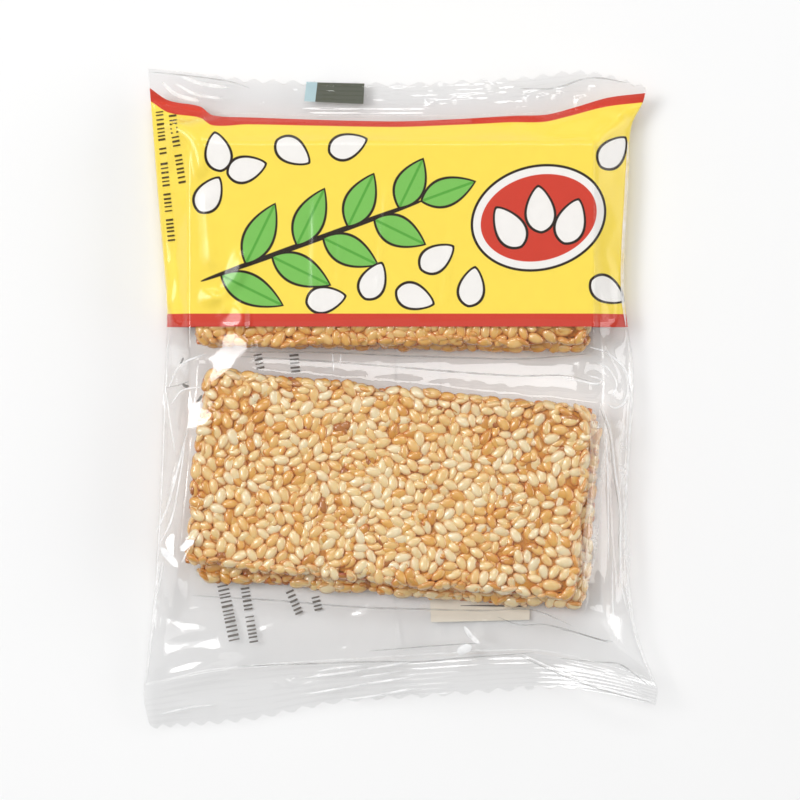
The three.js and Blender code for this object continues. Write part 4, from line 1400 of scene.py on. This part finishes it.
# %% [markdown]
# Where the two long edges of the web meet, they are welded into a flat seam down the middle of the back. It shows
# through the pack as a strip of film that is one layer thicker, with a soft step along both sides.

# %% The back seam
BACK_SEAM = (-1.0, 7.0)  # x of its two sides
SEAM_COLUMNS, SEAM_ROWS = 9, 130
SEAM_DROP, SEAM_THICK, SEAM_WAVE = 0.02, 0.05, 0.12


def back_seam():
    share = np.linspace(0, 1, SEAM_ROWS)[:, None]
    xs = np.linspace(*BACK_SEAM, SEAM_COLUMNS)[None, :] + SEAM_WAVE * np.sin(share * 40)
    low = bottom_seal_y(x_to_across(xs, np.full_like(xs, -45.0)))
    high = top_seal_y(x_to_across(xs, np.full_like(xs, 50.0)))
    ys = low + (high - low) * share
    _, under = film_heights(x_to_across(xs, ys), ys)
    top = under - SEAM_DROP
    return closed_skin("back_seam", xs, ys, top, top - SEAM_THICK)


seam = back_seam()
seam.data.materials.append(film_material("welded_film_seam", "#FFFFFF", 0.15, 0.012))
print("seam faces:", len(seam.data.polygons))

# %% [markdown]
# Folds in clear film show as thin lines of light and shade, and here these are painted on as ribbons. White
# ribbons are painted highlights along creases, grey ones painted shade, and dark ones painted dark reflections in
# folds pinched shut. Pale strips are a painted sheen, and short white marks painted glints on sharp kinks. All are
# laid on the front film, pointed at the ends, along the lines that show best in the photo. The rims of the pack have
# a painted white highlight line as well.

# %% Painted light and shade along creases
# Painted highlights: white lines along the creases that catch the light.
PAINTED_HIGHLIGHT_LINES = [  # width, and the way it runs
    (0.3, [(35.0, -1.2), (36.5, -5.6), (37.4, -12.7), (38.4, -19.3), (38.3, -26.1), (38.6, -32.7), (40.0, -37.6)]),
    (0.35, [(32.7, 9.2), (35.8, 8.2), (39.0, 5.6), (39.8, 2.4), (39.1, -0.3), (37.4, -1.4), (36.0, -0.7)]),
    (0.25, [(34.1, 6.6), (36.3, 5.4), (37.7, 2.8), (36.9, 0.7)]),
    (0.25, [(35.5, -3.5), (36.0, -12.2), (36.2, -27.8)]),
    (0.3, [(32.5, 4.3), (35.1, 3.5), (34.4, 2.8), (30.4, 3.5), (27.8, 4.0)]),
    (0.3, [(36.9, -45.9), (40.7, -47.5), (44.0, -49.7)]), (0.25, [(36.9, -27.8), (36.9, -34.8), (37.4, -41.7)]),
    (0.3, [(21.0, -44.2), (27.5, -47.1), (34.3, -49.7), (43.7, -52.2)]),
    (0.35, [(-36.7, -5.2), (-38.6, -12.2), (-40.3, -18.3), (-42.4, -23.0)]),
    (0.25, [(-37.2, -7.3), (-38.3, -14.4), (-39.7, -20.9), (-41.7, -25.0)]),
    (0.3, [(-40.3, 2.1), (-38.3, 5.9), (-33.7, 8.0)]), (0.25, [(-39.7, -0.7), (-37.9, 1.6), (-34.1, 2.3)]),
    (0.2, [(-40.7, 1.4), (-40.0, -3.5), (-39.0, -9.0)]), (0.2, [(-41.0, -27.8), (-42.1, -33.0), (-43.0, -36.9)]),
    (0.35, [(-16.9, -48.5), (-7.0, -47.1), (3.1, -45.4)]), (0.3, [(-16.3, -51.3), (-7.0, -49.7), (2.3, -48.2)]),
    (0.3, [(-8.9, -52.2), (-3.5, -51.4), (2.6, -50.2)]), (0.25, [(-14.3, -47.3), (-10.4, -46.6), (-6.6, -46.3)]),
    (0.25, [(-7.0, -48.3), (0.0, -47.3)]), (0.25, [(-41.7, -54.8), (-36.5, -53.6), (-32.2, -53.2)]),
    (0.2, [(-11.7, 8.3), (-11.5, 5.0)]), (0.2, [(-10.3, 8.0), (-10.3, 5.9)]),
    (0.7, [(-41.4, 55.3), (-39.0, 53.2), (-34.8, 52.0)]), (0.6, [(-38.3, 56.4), (-34.8, 55.1), (-29.9, 54.4)]),
    (0.5, [(-39.0, 55.0), (-35.5, 53.2), (-31.0, 52.5)]),
]
# Painted shade: grey lines along folds.
PAINTED_SHADE_LINES = [
    (0.28, [(-27.5, 8.3), (-12.2, 8.2), (-0.9, 7.7), (11.8, 7.3), (20.5, 7.1), (27.3, 7.5), (32.5, 8.0)]),
    (0.32, [(-27.5, 7.5), (-17.7, 7.0), (0.9, 5.6), (11.8, 4.7), (20.5, 4.2), (29.0, 4.2), (33.6, 3.0)]),
    (0.3, [(-35.8, -33.9), (-20.3, -34.8), (-8.9, -35.8), (5.2, -36.3), (14.3, -36.5), (21.7, -36.2), (24.9, -36.9),
           (29.7, -39.1)]),
    (0.25, [(16.9, -37.6), (20.7, -39.0), (25.6, -39.0), (36.2, -42.1)]),
    (0.28, [(-28.3, -46.4), (-13.2, -45.9), (-3.5, -45.6), (3.7, -45.6), (10.4, -45.0), (19.8, -44.3),
            (23.3, -44.0)]),
    (0.2, [(-5.4, -43.7), (5.9, -42.8), (14.3, -42.3)]), (0.2, [(-40.7, 2.1), (-37.6, 2.8), (-36.5, 3.3)]),
    (0.22, [(21.0, -44.6), (27.5, -47.6), (34.3, -50.1), (43.7, -52.5)]),
    (0.22, [(27.8, -45.0), (34.1, -45.6), (38.1, -45.9), (41.0, -47.8), (43.3, -49.7)]),
    (0.22, [(27.8, -39.8), (30.4, -40.3), (35.3, -41.7), (37.0, -41.9)]),
    (0.25, [(-43.2, 57.0), (-34.8, 56.2), (-29.0, 55.3), (-26.1, 54.3)]),
    (0.28, [(20.9, 54.3), (25.6, 54.2), (28.7, 54.8), (31.1, 55.7), (33.2, 56.1), (35.5, 56.0), (39.5, 55.2)]),
    (0.2, [(34.6, -1.4), (36.2, -5.9), (37.0, -12.9), (38.1, -19.5), (37.9, -26.1)]),
]
# Painted sheen: pale strips where the film mirrors the lamps.
PAINTED_SHEEN_STRIPS = [
    (2.6, [(33.4, -1.8), (34.1, -8.0), (33.8, -16.0), (32.9, -24.0), (32.0, -32.5)]),
    (1.6, [(38.9, -4.0), (39.0, -20.0), (39.6, -34.0)]),
]
# Painted dark reflections in folds pinched shut.
PAINTED_DARK_LINES = [
    (0.5, [(-37.7, 2.8), (-37.1, 2.4), (-36.5, 2.4)]),
    (0.45, [(-35.2, -0.3), (-34.7, 0.1), (-34.2, 0.9)]),
    (0.35, [(-38.1, 6.3), (-37.8, 6.8), (-37.6, 7.4)]),
]
# Painted glints: short white marks on sharp kinks.
PAINTED_GLINTS = [
    (0.8, [(11.2, -39.4), (12.3, -41.0), (13.9, -42.4)]),
    (1.5, [(10.0, -44.2), (11.2, -43.4), (12.5, -42.9)]),
    (1.3, [(-41.6, -25.6), (-40.0, -27.2), (-38.4, -28.9)]),
    (1.2, [(-37.9, -26.1), (-36.8, -25.0), (-35.6, -24.3)]),
]
rim_ys = np.linspace(12, -50, 14)
# Painted highlights: white lines along both rims of the pack, and along the right rim of the band.
PAINTED_HIGHLIGHT_LINES += [(0.35, [(float(right_x(y)) - 0.4, y) for y in rim_ys]),
                  (0.2, [(float(left_x(y)) + 0.4, y) for y in rim_ys]),
                  (0.6, [(float(right_x(y)) - 0.3, y) for y in np.linspace(45, 12.7, 8)])]
print("crease lines:", [len(lines) for lines in (PAINTED_HIGHLIGHT_LINES, PAINTED_SHADE_LINES, PAINTED_SHEEN_STRIPS, PAINTED_GLINTS, PAINTED_DARK_LINES)])

# %% [markdown]
# A ribbon has a row of three points every half millimetre or so, set on the film and a little over it. Its painted
# cover is broken by a soft noise, so that no line of painted light or shade is even all along.

# %% Ribbons of painted light and shade
CREASE_LIFT = 0.05  # above the film, which is woven more coarsely than the ribbons
RIBBON_STEP = 0.6


# A ribbon's material mixes a flat colour over the film: white for painted highlights, grey or dark for painted
# shade.
def painted_line_material(name, colour, cover):
    material, tree = new_material(name)
    broken = add_node(tree, "ShaderNodeMath", {"operation": "MULTIPLY", "use_clamp": True}, {1: 2 * cover},
                      {0: object_noise(tree, 2.5, 3.0)})
    clear = add_node(tree, "ShaderNodeBsdfTransparent")
    marked = add_node(tree, "ShaderNodeBsdfDiffuse", values={"Color": linear(colour)})
    mixed = add_node(tree, "ShaderNodeMixShader",
                     links={0: broken.outputs[0], 1: clear.outputs[0], 2: marked.outputs[0]})
    add_node(tree, "ShaderNodeOutputMaterial", links={"Surface": mixed.outputs[0]})
    return material


def painted_line_piece(name, lines, material):
    points, faces = [], []
    for width, path in lines:
        corners = np.array(path, float)
        run = np.concatenate([[0], np.cumsum(np.hypot(*np.diff(corners, axis=0).T))])
        at = np.linspace(0, run[-1], max(8, int(run[-1] / RIBBON_STEP)))
        middle = np.stack([through(list(zip(run, corners[:, axis])))(at) for axis in (0, 1)], 1)
        way = np.gradient(middle, axis=0)
        way /= np.hypot(*way.T)[:, None]
        share = at / run[-1]
        half = width / 2 * np.sqrt(np.clip(6 * share * (1 - share), 0.02, 1))
        side = np.stack([-way[:, 1], way[:, 0]], 1) * half[:, None]
        rows = np.stack([middle + side * s for s in (1, 0, -1)], 1)
        z = film_z(rows[..., 0], rows[..., 1]) + CREASE_LIFT
        faces += grid_faces(len(at), 3, len(points))
        points += np.dstack([rows, z]).reshape(-1, 3).tolist()
    piece = mesh_from(name, points, faces)
    piece.data.materials.append(material)
    return piece


# White ribbons are painted highlights, sheen and glints; grey and dark ones are painted shade and dark reflections.
creases = [
    painted_line_piece("whitened_creases", PAINTED_HIGHLIGHT_LINES, painted_line_material("painted_crease_highlight", "#FFFFFF", 0.6)),
    painted_line_piece("clinging_creases", PAINTED_SHADE_LINES, painted_line_material("painted_crease_shade", "#8A8A88", 0.35)),
    painted_line_piece("scuffed_film_strips", PAINTED_SHEEN_STRIPS, painted_line_material("painted_film_sheen", "#FFFFFF", 0.2)),
    painted_line_piece("sharp_kinks", PAINTED_GLINTS, painted_line_material("painted_kink_glint", "#FFFFFF", 1.0)),
    painted_line_piece("pinched_creases", PAINTED_DARK_LINES, painted_line_material("painted_fold_dark_reflection", "#4E4E4A", 0.7)),
]
print("crease faces:", [len(piece.data.polygons) for piece in creases])

# %% [markdown]
# Every piece is told which body it rides on. The pack has no moving part, so all of them ride on its one body, and
# the film takes the place of the imported solid, which is hidden.

# %% Attach the pieces to the body
printed = band + small_print
for piece in contents + printed + creases + [clear_film, seam]:
    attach(piece, "root")
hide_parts("sesame_cookie_pack")
